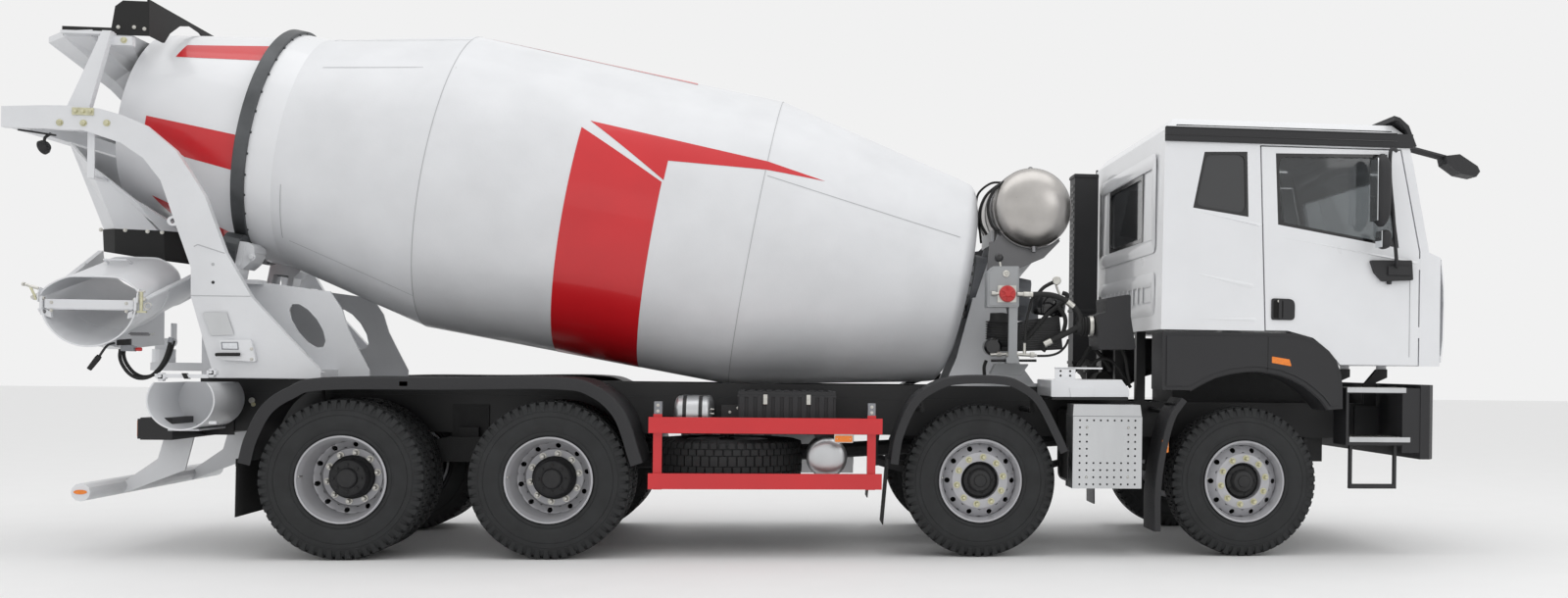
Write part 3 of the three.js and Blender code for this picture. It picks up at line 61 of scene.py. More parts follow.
def node_material(name, color, roughness, metallic=0.0, mottle=0.06, mottle_scale=2.5, grain=0.0,
                  grain_scale=300.0, coat=0.0, stretch=(1, 1, 1), spread=0.06, transmission=0.0):
    """A Principled surface whose tone and roughness wander slowly, with a fine bump for its grain."""
    made = bpy.data.materials.new(name)
    made.use_nodes = True
    nodes, links = made.node_tree.nodes, made.node_tree.links
    surface = nodes["Principled BSDF"]
    surface.inputs["Metallic"].default_value = metallic
    surface.inputs["Coat Weight"].default_value = coat
    surface.inputs["Coat Roughness"].default_value = 0.06
    surface.inputs["Transmission Weight"].default_value = transmission
    place = nodes.new("ShaderNodeTexCoord")
    mapping = nodes.new("ShaderNodeMapping")
    mapping.inputs["Scale"].default_value = stretch
    links.new(place.outputs["Object"], mapping.inputs["Vector"])

    slow = nodes.new("ShaderNodeTexNoise")
    slow.inputs["Scale"].default_value = mottle_scale
    slow.inputs["Detail"].default_value = 4
    links.new(mapping.outputs["Vector"], slow.inputs["Vector"])
    tone = nodes.new("ShaderNodeValToRGB")
    dark = [channel * (1 - mottle) for channel in color]
    light = [min(1, channel * (1 + mottle * 0.5)) for channel in color]
    tone.color_ramp.elements[0].position = 0.3
    tone.color_ramp.elements[0].color = (*dark, 1)
    tone.color_ramp.elements[1].position = 0.7
    tone.color_ramp.elements[1].color = (*light, 1)
    links.new(slow.outputs["Fac"], tone.inputs["Fac"])
    links.new(tone.outputs["Color"], surface.inputs["Base Color"])
    gloss = nodes.new("ShaderNodeMapRange")
    gloss.inputs["To Min"].default_value = max(0.02, roughness - spread)
    gloss.inputs["To Max"].default_value = min(1, roughness + spread)
    links.new(slow.outputs["Fac"], gloss.inputs["Value"])
    links.new(gloss.outputs["Result"], surface.inputs["Roughness"])
    if grain:
        fine = nodes.new("ShaderNodeTexNoise")
        fine.inputs["Scale"].default_value = grain_scale
        fine.inputs["Detail"].default_value = 3
        links.new(mapping.outputs["Vector"], fine.inputs["Vector"])
        bump = nodes.new("ShaderNodeBump")
        bump.inputs["Strength"].default_value = grain
        bump.inputs["Distance"].default_value = 0.002
        links.new(fine.outputs["Fac"], bump.inputs["Height"])
        links.new(bump.outputs["Normal"], surface.inputs["Normal"])
    return made


WHITE = node_material("white_paint", (0.76, 0.77, 0.79), 0.3, coat=0.5, mottle=0.03, grain=0.05, grain_scale=60)
WELDED = node_material("white_steel_paint", (0.72, 0.73, 0.75), 0.42, coat=0.2, mottle=0.06, grain=0.25,
                       grain_scale=90)
RED = node_material("red_paint", (0.6, 0.008, 0.014), 0.32, coat=0.5, mottle=0.06, grain=0.05, grain_scale=60)
BLACK = node_material("black_paint", (0.01, 0.01, 0.011), 0.42, mottle=0.25, grain=0.2, grain_scale=150)
PLASTIC = node_material("black_plastic", (0.017, 0.017, 0.019), 0.55, mottle=0.12, grain=0.5, grain_scale=900)
GLOSS = node_material("gloss_black", (0.008, 0.008, 0.009), 0.18, coat=0.4, mottle=0.1)
RUBBER = node_material("rubber", (0.013, 0.013, 0.013), 0.75, mottle=0.2, grain=0.4, grain_scale=400)
TYRE = node_material("tyre_rubber", (0.02, 0.021, 0.022), 0.78, mottle=0.3, mottle_scale=9, grain=0.5,
                     grain_scale=350)
RIM = node_material("rim_paint", (0.46, 0.46, 0.48), 0.38, metallic=0.35, mottle=0.06, grain=0.08)
STEEL = node_material("bare_steel", (0.3, 0.3, 0.31), 0.42, metallic=0.9, mottle=0.25, mottle_scale=7,
                      grain=0.2)
ZINC = node_material("zinc", (0.62, 0.61, 0.57), 0.34, metallic=0.95, mottle=0.15, mottle_scale=30)
BRASSY = node_material("yellow_zinc", (0.62, 0.6, 0.42), 0.32, metallic=0.85, mottle=0.2, mottle_scale=40)
STAINLESS = node_material("stainless", (0.5, 0.48, 0.46), 0.3, metallic=0.95, mottle=0.12, mottle_scale=5,
                          stretch=(1, 0.15, 1), grain=0.25, grain_scale=220)
ALUMINIUM = node_material("aluminium", (0.6, 0.61, 0.62), 0.36, metallic=0.9, mottle=0.08, mottle_scale=6,
                          stretch=(1, 1, 0.2), grain=0.2, grain_scale=260)
CAST = node_material("cast_iron", (0.018, 0.018, 0.019), 0.6, mottle=0.35, mottle_scale=12, grain=0.8,
                     grain_scale=140)
RING = node_material("ring_steel", (0.1, 0.105, 0.11), 0.45, metallic=0.6, mottle=0.25, mottle_scale=6,
                     grain=0.2)
GREY = node_material("grey_paint", (0.24, 0.25, 0.27), 0.42, coat=0.1, mottle=0.06, grain=0.15)
SEAM = node_material("seam_line", (0.46, 0.47, 0.48), 0.5, mottle=0.1)
# Near black for the shade inside holes, wells and gaps: painted shade, not a colour of the parts.
RECESS_SHADE = node_material("painted_recess_shade", (0.004, 0.004, 0.004), 0.9, mottle=0.1)
AMBER = node_material("amber_lens", (0.85, 0.22, 0.01), 0.16, coat=0.6, mottle=0.12, mottle_scale=60)
RED_LENS = node_material("red_lens", (0.5, 0.01, 0.01), 0.16, coat=0.6, mottle=0.12, mottle_scale=60)
LENS = node_material("clear_lens", (0.75, 0.77, 0.8), 0.1, coat=0.8, mottle=0.1, mottle_scale=50)
MIRROR = node_material("mirror_glass", (0.7, 0.72, 0.74), 0.05, metallic=1.0, mottle=0.03, spread=0.02)
SEAT = node_material("seat_cloth", (0.035, 0.036, 0.04), 0.9, mottle=0.2, grain=0.8, grain_scale=700)
GLASS = node_material("tinted_glass", (0.42, 0.44, 0.45), 0.03, mottle=0.04, transmission=0.96, spread=0.01)
RED_KNOB = node_material("red_knob", (0.55, 0.02, 0.02), 0.35, coat=0.3, mottle=0.12)
SADDLE_GREY = node_material("saddle_grey", (0.155, 0.155, 0.16), 0.45, mottle=0.08, grain=0.15)
BOX_GREY = node_material("box_grey", (0.33, 0.34, 0.35), 0.45, mottle=0.06, grain=0.15)
TINT = node_material("dark_tint", (0.028, 0.029, 0.031), 0.07, coat=0.6, mottle=0.05)


# ---------------------------------------------------------------- making meshes



def turn_to(axis):
    """The rotation that takes +Z to the axis."""
    return Vector(axis).normalized().to_track_quat("Z", "Y").to_matrix().to_4x4()


def around(radius, angle, along=0.0):
    """A place at a radius and an angle around the z axis, before it is turned."""
    return Vector((radius * math.cos(angle), radius * math.sin(angle), along))


class Piece:
    """One object built face by face, with a material for each face."""

    def __init__(self, name):
        self.name = name
        self.mesh = bmesh.new()
        self.materials = []

    def slot_of(self, material):
        if material not in self.materials:
            self.materials.append(material)
        return self.materials.index(material)

    def faces(self, points, faces, material, smooth=False):
        index = self.slot_of(material)
        verts = [self.mesh.verts.new(point) for point in points]
        for corners in faces:
            face = self.mesh.faces.new([verts[i] for i in corners])
            face.material_index = index
            face.smooth = smooth
        return verts

    def box(self, low, high, material):
        """A box between two corners."""
        low, high = Vector(low), Vector(high)
        corners = [Vector((x, y, z)) for x in (low.x, high.x) for y in (low.y, high.y) for z in (low.z, high.z)]
        sides = [(0, 1, 3, 2), (4, 6, 7, 5), (0, 4, 5, 1), (2, 3, 7, 6), (0, 2, 6, 4), (1, 5, 7, 3)]
        self.faces(corners, sides, material)

    def prism(self, outline, axis, start, end, material):
        """An outline in the other two axes, in their order, drawn out along an axis."""
        def place(point, along):
            u, v = point
            return {"x": (along, u, v), "y": (u, along, v), "z": (u, v, along)}[axis]
        count = len(outline)
        points = [place(p, start) for p in outline] + [place(p, end) for p in outline]
        sides = [(i, (i + 1) % count, count + (i + 1) % count, count + i) for i in range(count)]
        self.faces(points, [tuple(range(count)), tuple(range(count, 2 * count))] + sides, material)

    def lathe(self, profile, origin, axis, material, sides=48, closed=False, smooth=True):
        """A profile of (radius, along) points turned about an axis; a material may be one per span."""
        turn = turn_to(axis)
        origin = Vector(origin)
        rings = []
        for radius, along in profile:
            if radius < 1e-6:
                rings.append([self.mesh.verts.new(origin + turn @ Vector((0, 0, along)))])
                continue
            angles = [2 * math.pi * i / sides for i in range(sides)]
            rings.append([self.mesh.verts.new(origin + turn @ around(radius, a, along)) for a in angles])
        pairs = list(zip(rings, rings[1:]))
        if closed:
            pairs.append((rings[-1], rings[0]))
        for span, (a, b) in enumerate(pairs):
            index = self.slot_of(material[span] if isinstance(material, list) else material)
            for i in range(sides):
                j = (i + 1) % sides
                if len(a) == 1 and len(b) == 1:
                    continue
                if len(a) == 1:
                    corners = [a[0], b[j], b[i]]
                elif len(b) == 1:
                    corners = [a[i], a[j], b[0]]
                else:
                    corners = [a[i], a[j], b[j], b[i]]
                face = self.mesh.faces.new(corners)
                face.material_index = index
                face.smooth = smooth

    def tube(self, path, radius, material, sides=10):
        """A round tube through points, each given as it lies."""
        path = [Vector(p) for p in path]
        index = self.slot_of(material)
        rings = []
        side = None
        for i, point in enumerate(path):
            ahead = (path[min(i + 1, len(path) - 1)] - path[max(i - 1, 0)]).normalized()
            if side is None:
                side = ahead.orthogonal().normalized()
            side = (side - ahead * side.dot(ahead)).normalized()
            other = ahead.cross(side)
            angles = [2 * math.pi * k / sides for k in range(sides)]
            rings.append([self.mesh.verts.new(
                point + side * radius * math.cos(a) + other * radius * math.sin(a)) for a in angles])
        for a, b in zip(rings, rings[1:]):
            for i in range(sides):
                j = (i + 1) % sides
                face = self.mesh.faces.new([a[i], a[j], b[j], b[i]])
                face.material_index = index
                face.smooth = True
        for ring in (rings[0], rings[-1]):
            self.mesh.faces.new(ring).material_index = index

    def plate(self, outline, y0, y1, material, radius=0, steps=5):
        """A side outline of (x, z) from the first axle, with its corners rounded, from y0 to y1."""
        outline = rounded(outline, radius, steps) if radius else outline
        self.prism(shifted(outline), "y", y0, y1, material)

    def rib(self, outline, x0, x1, material):
        """An outline of (y, z) from one station to another, measured from the first axle."""
        self.prism(outline, "x", at(x0, 0, 0).x, at(x1, 0, 0).x, material)

    def block(self, low, high, material):
        """A box between two places measured from the first axle."""
        self.box(at(*low), at(*high), material)

    def disc(self, origin, axis, radius, height, material, sides=48):
        """A short cylinder that stands on its origin."""
        self.lathe([(0, 0), (radius, 0), (radius, height), (0, height)], origin, axis, material, sides)

    def band(self, origin, axis, inner, outer, low, high, material, sides=48):
        """A flat ring between two radii and two places along its axis."""
        section = [(inner, low), (outer, low), (outer, high), (inner, high)]
        self.lathe(section, origin, axis, material, sides, closed=True)

    def curve(self, points, radius, material, steps=8, sides=10):
        """A tube on a smooth line through a few points."""
        self.tube(smooth_line(points, steps), radius, material, sides)

    def bolt(self, at, axis, radius, height, material, washer=True):
        """A hexagon head on its washer."""
        axis = Vector(axis).normalized()
        at = Vector(at)
        if washer:
            self.lathe([(0, 0), (radius * 1.45, 0), (radius * 1.45, height * 0.2), (0, height * 0.2)], at, axis,
                       material, sides=16, smooth=False)
        top = [(0, 0), (radius, 0), (radius, height * 0.85), (radius * 0.8, height), (0, height)]
        self.lathe(top, at, axis, material, sides=6, smooth=False)

    def shell(self, rings, material, thickness, closed=False, smooth=True):
        """A sheet through rows of points, given a thickness inwards of its own normals."""
        index = self.slot_of(material)
        rows = [[self.mesh.verts.new(p) for p in row] for row in rings]
        made = []
        for a, b in zip(rows, rows[1:]):
            count = len(a) if closed else len(a) - 1
            for i in range(count):
                j = (i + 1) % len(a)
                face = self.mesh.faces.new([a[i], a[j], b[j], b[i]])
                face.material_index = index
                face.smooth = smooth
                made.append(face)
        if thickness:
            bmesh.ops.recalc_face_normals(self.mesh, faces=made)
            bmesh.ops.solidify(self.mesh, geom=made, thickness=thickness)
            for face in self.mesh.faces:
                if face.material_index == index:
                    face.smooth = smooth

    def done(self, body, slot, *replaced, bevel=0.0, angle=35, segments=2):
        """Makes the object, rounds its edges and lets it ride on a body."""
        bmesh.ops.recalc_face_normals(self.mesh, faces=self.mesh.faces)
        data = bpy.data.meshes.new(self.name)
        self.mesh.to_mesh(data)
        self.mesh.free()
        for material in self.materials:
            data.materials.append(material)
        made = bpy.data.objects.new(self.name, data)
        bpy.context.scene.collection.objects.link(made)
        soften(made, bevel, angle, segments)
        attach(made, body)
        if replaced:
            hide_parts(*replaced)
        return made


def soften(thing, bevel, angle=35, segments=2):
    """Rounds the edges and keeps flat faces flat."""
    thing.data.set_sharp_from_angle(angle=math.radians(angle))
    for face in thing.data.polygons:
        face.use_smooth = True
    if bevel:
        rounded = thing.modifiers.new("rounded", "BEVEL")
        rounded.width = bevel
        rounded.segments = segments
        rounded.limit_method = "ANGLE"
        rounded.angle_limit = math.radians(angle)
        rounded.harden_normals = True


def smooth_line(points, steps):
    """A Catmull-Rom line through the points."""
    points = [Vector(p) for p in points]
    ends = [points[0] * 2 - points[1], *points, points[-1] * 2 - points[-2]]
    line = []
    for p0, p1, p2, p3 in zip(ends, ends[1:], ends[2:], ends[3:]):
        for k in range(steps):
            t = k / steps
            line.append(0.5 * (2 * p1 + (p2 - p0) * t + (2 * p0 - 5 * p1 + 4 * p2 - p3) * t * t
                               + (3 * p1 - p0 - 3 * p2 + p3) * t ** 3))
    line.append(points[-1])
    return line


def both(make):
    """Runs make(side) for the right (-1) and the left (+1)."""
    for side in (-1, 1):
        make(side)


# ---------------------------------------------------------------- the studio

def make_camera():
    data = bpy.data.cameras.new("camera")
    camera = bpy.data.objects.new("camera", data)
    bpy.context.scene.collection.objects.link(camera)
    data.sensor_width = 36
    data.lens = 34.63
    data.shift_x = -0.1226
    data.shift_y = 0.0435
    data.clip_end = 200
    yaw, roll = math.radians(7.0), math.radians(0.7)
    ahead = Vector((math.sin(yaw), math.cos(yaw), 0))
    level = Vector((math.cos(yaw), -math.sin(yaw), 0))
    up = Vector((0, 0, 1))
    right = level * math.cos(roll) + up * math.sin(roll)
    above = up * math.cos(roll) - level * math.sin(roll)
    turn = Matrix((right, above, -ahead)).transposed().to_4x4()
    camera.matrix_world = Matrix.Translation((0.1, -11.781, 1.348)) @ turn
    bpy.context.scene.camera = camera


def area_light(name, at, target, size, power, color=(1, 1, 1)):
    data = bpy.data.lights.new(name, "AREA")
    data.shape = "RECTANGLE"
    data.size, data.size_y = size
    data.energy = power
    data.color = color
    light = bpy.data.objects.new(name, data)
    light.location = at
    light.rotation_euler = (Vector(target) - Vector(at)).to_track_quat("-Z", "Y").to_euler()
    bpy.context.scene.collection.objects.link(light)


def make_studio():
    floor = Piece("floor")
    reach = 60
    corners = [(-reach, -reach, 0), (reach, -reach, 0), (reach, reach, 0), (-reach, reach, 0)]
    floor.faces(corners, [(0, 1, 2, 3)], node_material("floor_white", (0.86, 0.86, 0.86), 0.75, mottle=0.01))
    data = bpy.data.meshes.new("floor")
    floor.mesh.to_mesh(data)
    floor.mesh.free()
    data.materials.append(floor.materials[0])
    plane = bpy.data.objects.new("floor", data)
    bpy.context.scene.collection.objects.link(plane)
    world = bpy.data.worlds.new("studio")
    world.use_nodes = True
    world.node_tree.nodes["Background"].inputs["Color"].default_value = (1, 1, 1, 1)
    world.node_tree.nodes["Background"].inputs["Strength"].default_value = 0.88
    bpy.context.scene.world = world
    bpy.context.scene.view_settings.view_transform = "Standard"
    area_light("overhead", (0, -1.5, 10), (0, 0, 1), (16, 6), 260)
    area_light("front_key", (9, -8, 6), (1, 0, 1.5), (6, 4), 90)
    area_light("near_fill", (-3, -13, 4), (-1, 0, 1.2), (12, 4), 25)


make_camera()
make_studio()


# ---------------------------------------------------------------- wheels

TYRE_R = 0.542
BEAD_R = 0.296
TREAD_PITCHES = 54
WHEEL_STUDS = 10
STUD_CIRCLE = 0.168


def ring_block(piece, turn, origin, angles, across, radii, material):
    """A block of tread between two angles and two widths, from its foot to its top at each side."""
    points = []
    for angle in angles:
        for y, (foot, top) in zip(across, radii):
            for radius in (foot, top):
                points.append(origin + turn @ around(radius, angle, y))
    sides = [(0, 1, 3, 2), (4, 6, 7, 5), (0, 4, 5, 1), (2, 3, 7, 6), (1, 5, 7, 3)]
    piece.faces(points, sides, material)


def add_tyre(piece, origin, axis):
    """A block-tread tyre with a beaded sidewall; the axis points outwards."""
    wall = [(BEAD_R, 0.118), (0.306, 0.132), (0.322, 0.137), (0.33, 0.133), (0.336, 0.1375), (0.372, 0.144),
            (0.405, 0.1445), (0.428, 0.1435), (0.432, 0.14), (0.437, 0.143), (0.462, 0.14), (0.466, 0.1365),
            (0.471, 0.1385), (0.494, 0.13), (0.508, 0.124), (0.52, 0.112), (0.5265, 0.085)]
    profile = wall + [(radius, -along) for radius, along in reversed(wall)]
    piece.lathe(profile, origin, axis, TYRE, sides=96, closed=True)
    turn = turn_to(axis)
    step = 2 * math.pi / TREAD_PITCHES
    ribs = [(-0.034, 0.034, 0.0), (0.041, 0.08, 0.5), (-0.08, -0.041, 0.5)]
    for k in range(TREAD_PITCHES):
        start = k * step
        for low, high, shift in ribs:
            first = start + shift * step
            ring_block(piece, turn, origin, (first, first + step * 0.8), (low, high),
                       ((0.525, TYRE_R), (0.525, TYRE_R)), TYRE)
        for side in (-1, 1):
            across = (side * 0.087, side * 0.1245)
            ring_block(piece, turn, origin, (start, start + step * 0.66), across,
                       ((0.515, TYRE_R - 0.001), (0.502, 0.5335)), TYRE)
            ring_block(piece, turn, origin, (start + step * 0.06, start + step * 0.56),
                       (side * 0.124, side * 0.1385), ((0.492, 0.5325), (0.474, 0.489)), TYRE)


def add_holed_disc(piece, origin, axis, inner, outer, holes, hole_r, material, phase=0.0):
    """A ring between two (radius, along) edges with a circle of round holes; their walls go 9 mm deep."""
    turn = turn_to(axis)
    middle_r = (inner[0] + outer[0]) / 2
    half = math.pi / holes
    corners = 24

    def put(radius, angle, depth=0.0):
        share = (radius - inner[0]) / (outer[0] - inner[0])
        along = inner[1] + share * (outer[1] - inner[1]) - depth
        return origin + turn @ around(radius, angle, along)

    for k in range(holes):
        centre = phase + 2 * half * k
        hole, edge, wall = [], [], []
        for i in range(corners):
            t = 2 * math.pi * (i + 0.5) / corners
            across, up = math.cos(t), math.sin(t)
            grow = 1 / max(abs(across), abs(up))
            hole.append(put(middle_r + hole_r * up, centre + hole_r * across / middle_r))
            wall.append(put(middle_r + hole_r * up, centre + hole_r * across / middle_r, 0.009))
            edge.append(put(middle_r + (outer[0] - inner[0]) / 2 * up * grow, centre + half * across * grow))
        for a, b in ((edge, hole), (hole, wall)):
            faces = [(i, (i + 1) % corners, corners + (i + 1) % corners, corners + i) for i in range(corners)]
            piece.faces(a + b, faces, material, smooth=True)


def add_studs(piece, origin, axis, along, stud, height):
    turn = turn_to(axis)
    for k in range(WHEEL_STUDS):
        angle = 2 * math.pi * (k + 0.3) / WHEEL_STUDS
        foot = origin + turn @ around(STUD_CIRCLE, angle, along)
        piece.bolt(foot, axis, 0.0165, height, stud)
        piece.lathe([(0, height), (0.011, height), (0.01, height + 0.012), (0, height + 0.013)], foot, axis,
                    stud, sides=12)


def front_wheel(name, node, centre, side):
    """A steered wheel: the disc stands out and its studs ring a dark hub."""
    axis = (0, side, 0)
    piece = Piece(name)
    add_tyre(piece, centre, axis)
    rim = [(0.29, 0.12), (0.297, 0.136), (0.292, 0.141), (0.284, 0.138), (0.276, 0.118), (0.268, 0.1),
           (0.262, 0.06), (0.258, 0.02)]
    piece.lathe(rim, centre, axis, RIM, sides=96)
    add_holed_disc(piece, centre, axis, (0.206, 0.088), (0.259, 0.046), 10, 0.0185, RIM)
    piece.lathe([(0.206, 0.088), (0.198, 0.096), (0.19, 0.098), (0.148, 0.098), (0.136, 0.094), (0.132, 0.08),
                 (0.132, 0.02)], centre, axis, RIM, sides=96)
    piece.lathe([(0.258, 0.02), (0.25, -0.12), (0.292, -0.138), (0.297, -0.13), (0.29, -0.118)], centre, axis,
                RIM, sides=64)
    piece.lathe([(0.132, 0.03), (0.118, 0.036), (0.112, 0.06), (0.086, 0.066), (0.08, 0.098), (0.07, 0.112),
                 (0.046, 0.118), (0.04, 0.128), (0.018, 0.131), (0, 0.131)], centre, axis, CAST, sides=48)
    turn = turn_to(axis)
    for k in range(5):
        angle = 2 * math.pi * k / 5
        foot = Vector(centre) + turn @ around(0.1, angle, 0.062)
        piece.bolt(foot, axis, 0.01, 0.01, CAST)
    add_studs(piece, Vector(centre), axis, 0.098, BRASSY, 0.024)
    add_valve(piece, Vector(centre), axis, 0.13)
    add_back(piece, centre, axis)
    return piece.done(node, "tyre", node, angle=30)


def add_valve(piece, centre, axis, along):
    turn = turn_to(axis)
    foot = centre + turn @ Vector((-0.262, 0.02, along - 0.05))
    tip = centre + turn @ Vector((-0.272, 0.02, along - 0.002))
    piece.tube([foot, tip], 0.005, ZINC, sides=8)


def add_back(piece, centre, axis):
    """The brake side: a dark plate fills the rim from behind."""
    back = [(0.25, -0.118), (0.245, -0.06), (0.12, -0.05), (0.075, -0.055)]
    piece.lathe(back, centre, axis, CAST, sides=64)


def twin_wheel(name, node, centre, side):
    """Two tyres on one hub: the outer disc is set deep behind its rim."""
    axis = (0, side, 0)
    piece = Piece(name)
    half = 0.345 / 2
    outward = Vector((0, side, 0))
    outer, inner = centre + outward * half, centre - outward * half
    add_tyre(piece, outer, axis)
    add_tyre(piece, inner, axis)
    rim = [(0.29, 0.12), (0.297, 0.136), (0.292, 0.141), (0.284, 0.138), (0.278, 0.12), (0.268, 0.104),
           (0.262, 0.06), (0.25, -0.03), (0.247, -0.104)]
    piece.lathe(rim, outer, axis, RIM, sides=96)
    add_holed_disc(piece, outer, axis, (0.205, -0.132), (0.248, -0.102), 10, 0.0175, RIM, phase=0.2)
    piece.lathe([(0.205, -0.132), (0.2, -0.138), (0.196, -0.15), (0.13, -0.15)], outer, axis, RIM, sides=96)
    hub = [(0.15, -0.15), (0.15, -0.118), (0.142, -0.108), (0.132, -0.104), (0.128, -0.04), (0.12, -0.022),
           (0.108, -0.016), (0.072, -0.012), (0.066, 0.01), (0.058, 0.016), (0, 0.018)]
    piece.lathe(hub, outer, axis, CAST, sides=48)
    turn = turn_to(axis)
    for k in range(8):
        angle = 2 * math.pi * k / 8
        foot = outer + turn @ around(0.092, angle, -0.014)
        piece.bolt(foot, axis, 0.01, 0.012, CAST)
    add_studs(piece, outer, axis, -0.148, ZINC, 0.03)
    add_valve(piece, outer, axis, 0.13)
    inner_rim = [(0.247, 0.05), (0.25, 0.03), (0.262, -0.06), (0.284, -0.138), (0.292, -0.141), (0.297, -0.136),
                 (0.29, -0.118)]
    piece.lathe([(0.29, 0.12), (0.297, 0.136), (0.284, 0.138), (0.262, 0.1), (0.247, 0.05)], inner, axis, RIM)
    piece.lathe(inner_rim, inner, axis, RIM, sides=64)
    piece.lathe([(0.248, 0.02), (0.205, 0.15), (0.14, 0.168)], inner, axis, CAST, sides=48)
    return piece.done(node, "tyre", node, angle=30)


def make_wheels():
    for axle in (1, 2, 3, 4):
        for word, side in (("right", -1), ("left", 1)):
            name = f"wheel_{axle}_{word}"
            make = front_wheel if axle < 3 else twin_wheel
            make(name + "_look", name, joint_at(f"spin_{axle}_{word}"), side)


make_wheels()


# ---------------------------------------------------------------- the drum

DRUM_AT = joint_at("drum_spin")
DRUM_AXIS = Vector(JOINTS["drum_spin"]["axis"]).normalized()  # rearwards and up
ACROSS = Vector((0, -1, 0))
LIFT = DRUM_AXIS.cross(ACROSS)  # upwards, square to the other two
FRONT_R, BELLY_R = 0.788, 1.105
SEAM_FRONT, SEAM_REAR = 1.532, 3.806
RING_AT, RING_END, RING_R = 5.04, 5.116, 0.878
NECK_R, MOUTH_R, MOUTH_AT = 0.812, 0.645, 5.986
RING_FLANK = 4.85
FLANK_R = BELLY_R - (RING_FLANK - SEAM_REAR) * (BELLY_R - 0.79) / (RING_END - SEAM_REAR)
SHELL = [(0.0, FRONT_R), (SEAM_FRONT, BELLY_R), (SEAM_REAR, BELLY_R), (RING_FLANK, FLANK_R)]
NECK = [(RING_END, NECK_R), (MOUTH_AT, MOUTH_R)]


def shell_radius(along):
    run = NECK if along > RING_END else SHELL
    for (s0, r0), (s1, r1) in zip(run, run[1:]):
        if along <= s1:
            return r0 + (r1 - r0) * (along - s0) / (s1 - s0)
    return run[-1][1]


def on_drum(along, angle, lift=0.0):
    """A point of the shell: along the axis from its front edge, and degrees up from the right side."""
    radius = shell_radius(along) + lift
    a = math.radians(angle)
    return DRUM_AT + DRUM_AXIS * along + (ACROSS * math.cos(a) + LIFT * math.sin(a)) * radius


def drum_patch(piece, outline, material, lift=0.0016):
    """Paint on the shell: an outline of (along, degrees), cut into small faces that follow the shell."""
    flat = bmesh.new()
    flat.faces.new([flat.verts.new((s, angle, 0)) for s, angle in outline])
    lows = [min(point[i] for point in outline) for i in (0, 1)]
    highs = [max(point[i] for point in outline) for i in (0, 1)]
    cuts = [(0, s) for s in (SEAM_FRONT, SEAM_REAR)]
    cuts += [(0, lows[0] + 0.15 * k) for k in range(1, int((highs[0] - lows[0]) / 0.15) + 1)]
    cuts += [(1, lows[1] + 2.5 * k) for k in range(1, int((highs[1] - lows[1]) / 2.5) + 1)]
    for axis, value in cuts:
        place = (value, 0, 0) if axis == 0 else (0, value, 0)
        normal = (1, 0, 0) if axis == 0 else (0, 1, 0)
        everything = flat.verts[:] + flat.edges[:] + flat.faces[:]
        bmesh.ops.bisect_plane(flat, geom=everything, plane_co=place, plane_no=normal)
    flat.verts.ensure_lookup_table()
    flat.verts.index_update()
    points = [on_drum(v.co.x, v.co.y, lift) for v in flat.verts]
    faces = [[v.index for v in face.verts] for face in flat.faces]
    piece.faces(points, faces, material, smooth=True)
    flat.free()


def drum_line(piece, start, end, width=0.006, lift=0.0014):
    """A fine lap seam between two (along, degrees) places."""
    (s0, a0), (s1, a1) = start, end
    count = max(2, int(abs(s1 - s0) / 0.25) + int(abs(a1 - a0) / 3))
    rows = []
    for k in range(count + 1):
        t = k / count
        s, angle = s0 + (s1 - s0) * t, a0 + (a1 - a0) * t
        if abs(s1 - s0) > 0.01:
            half = math.degrees(width / 2 / shell_radius(s))
            rows.append([on_drum(s, angle - half, lift), on_drum(s, angle + half, lift)])
        else:
            rows.append([on_drum(s - width / 2, angle, lift), on_drum(s + width / 2, angle, lift)])
    piece.shell(rows, SEAM, 0)


# Stripes as (along, degrees), from the front edge and up from the right side; the left side mirrors them.
BAND = [(2.835, 26.0), (2.835, -90.0), (2.215, -90.0), (2.215, 11.0)]
ARROW = [(2.79, 29.5), (1.532, 27.9), (1.106, 27.6), (1.532, 24.2), (2.205, 19.6), (2.205, 11.8)]
TOP_ARROW = [(3.8, 79.0), (2.2, 86.0), (2.17, 72.0), (2.7, 74.5)]
NECK_HIGH = [(5.72, 52.5), (5.13, 55.5), (5.13, 41.0), (5.735, 39.5)]
NECK_MIDDLE = [(5.785, -1.5), (5.13, -2.5), (5.13, -20.0), (5.48, -19.5), (5.785, -7.0)]
NECK_LOW = [(5.75, -52.0), (5.13, -62.0), (5.13, -74.0), (5.64, -66.0)]


def turned_round(outline):
    """The same outline on the left side."""
    return [(s, 180 - angle) for s, angle in reversed(outline)]


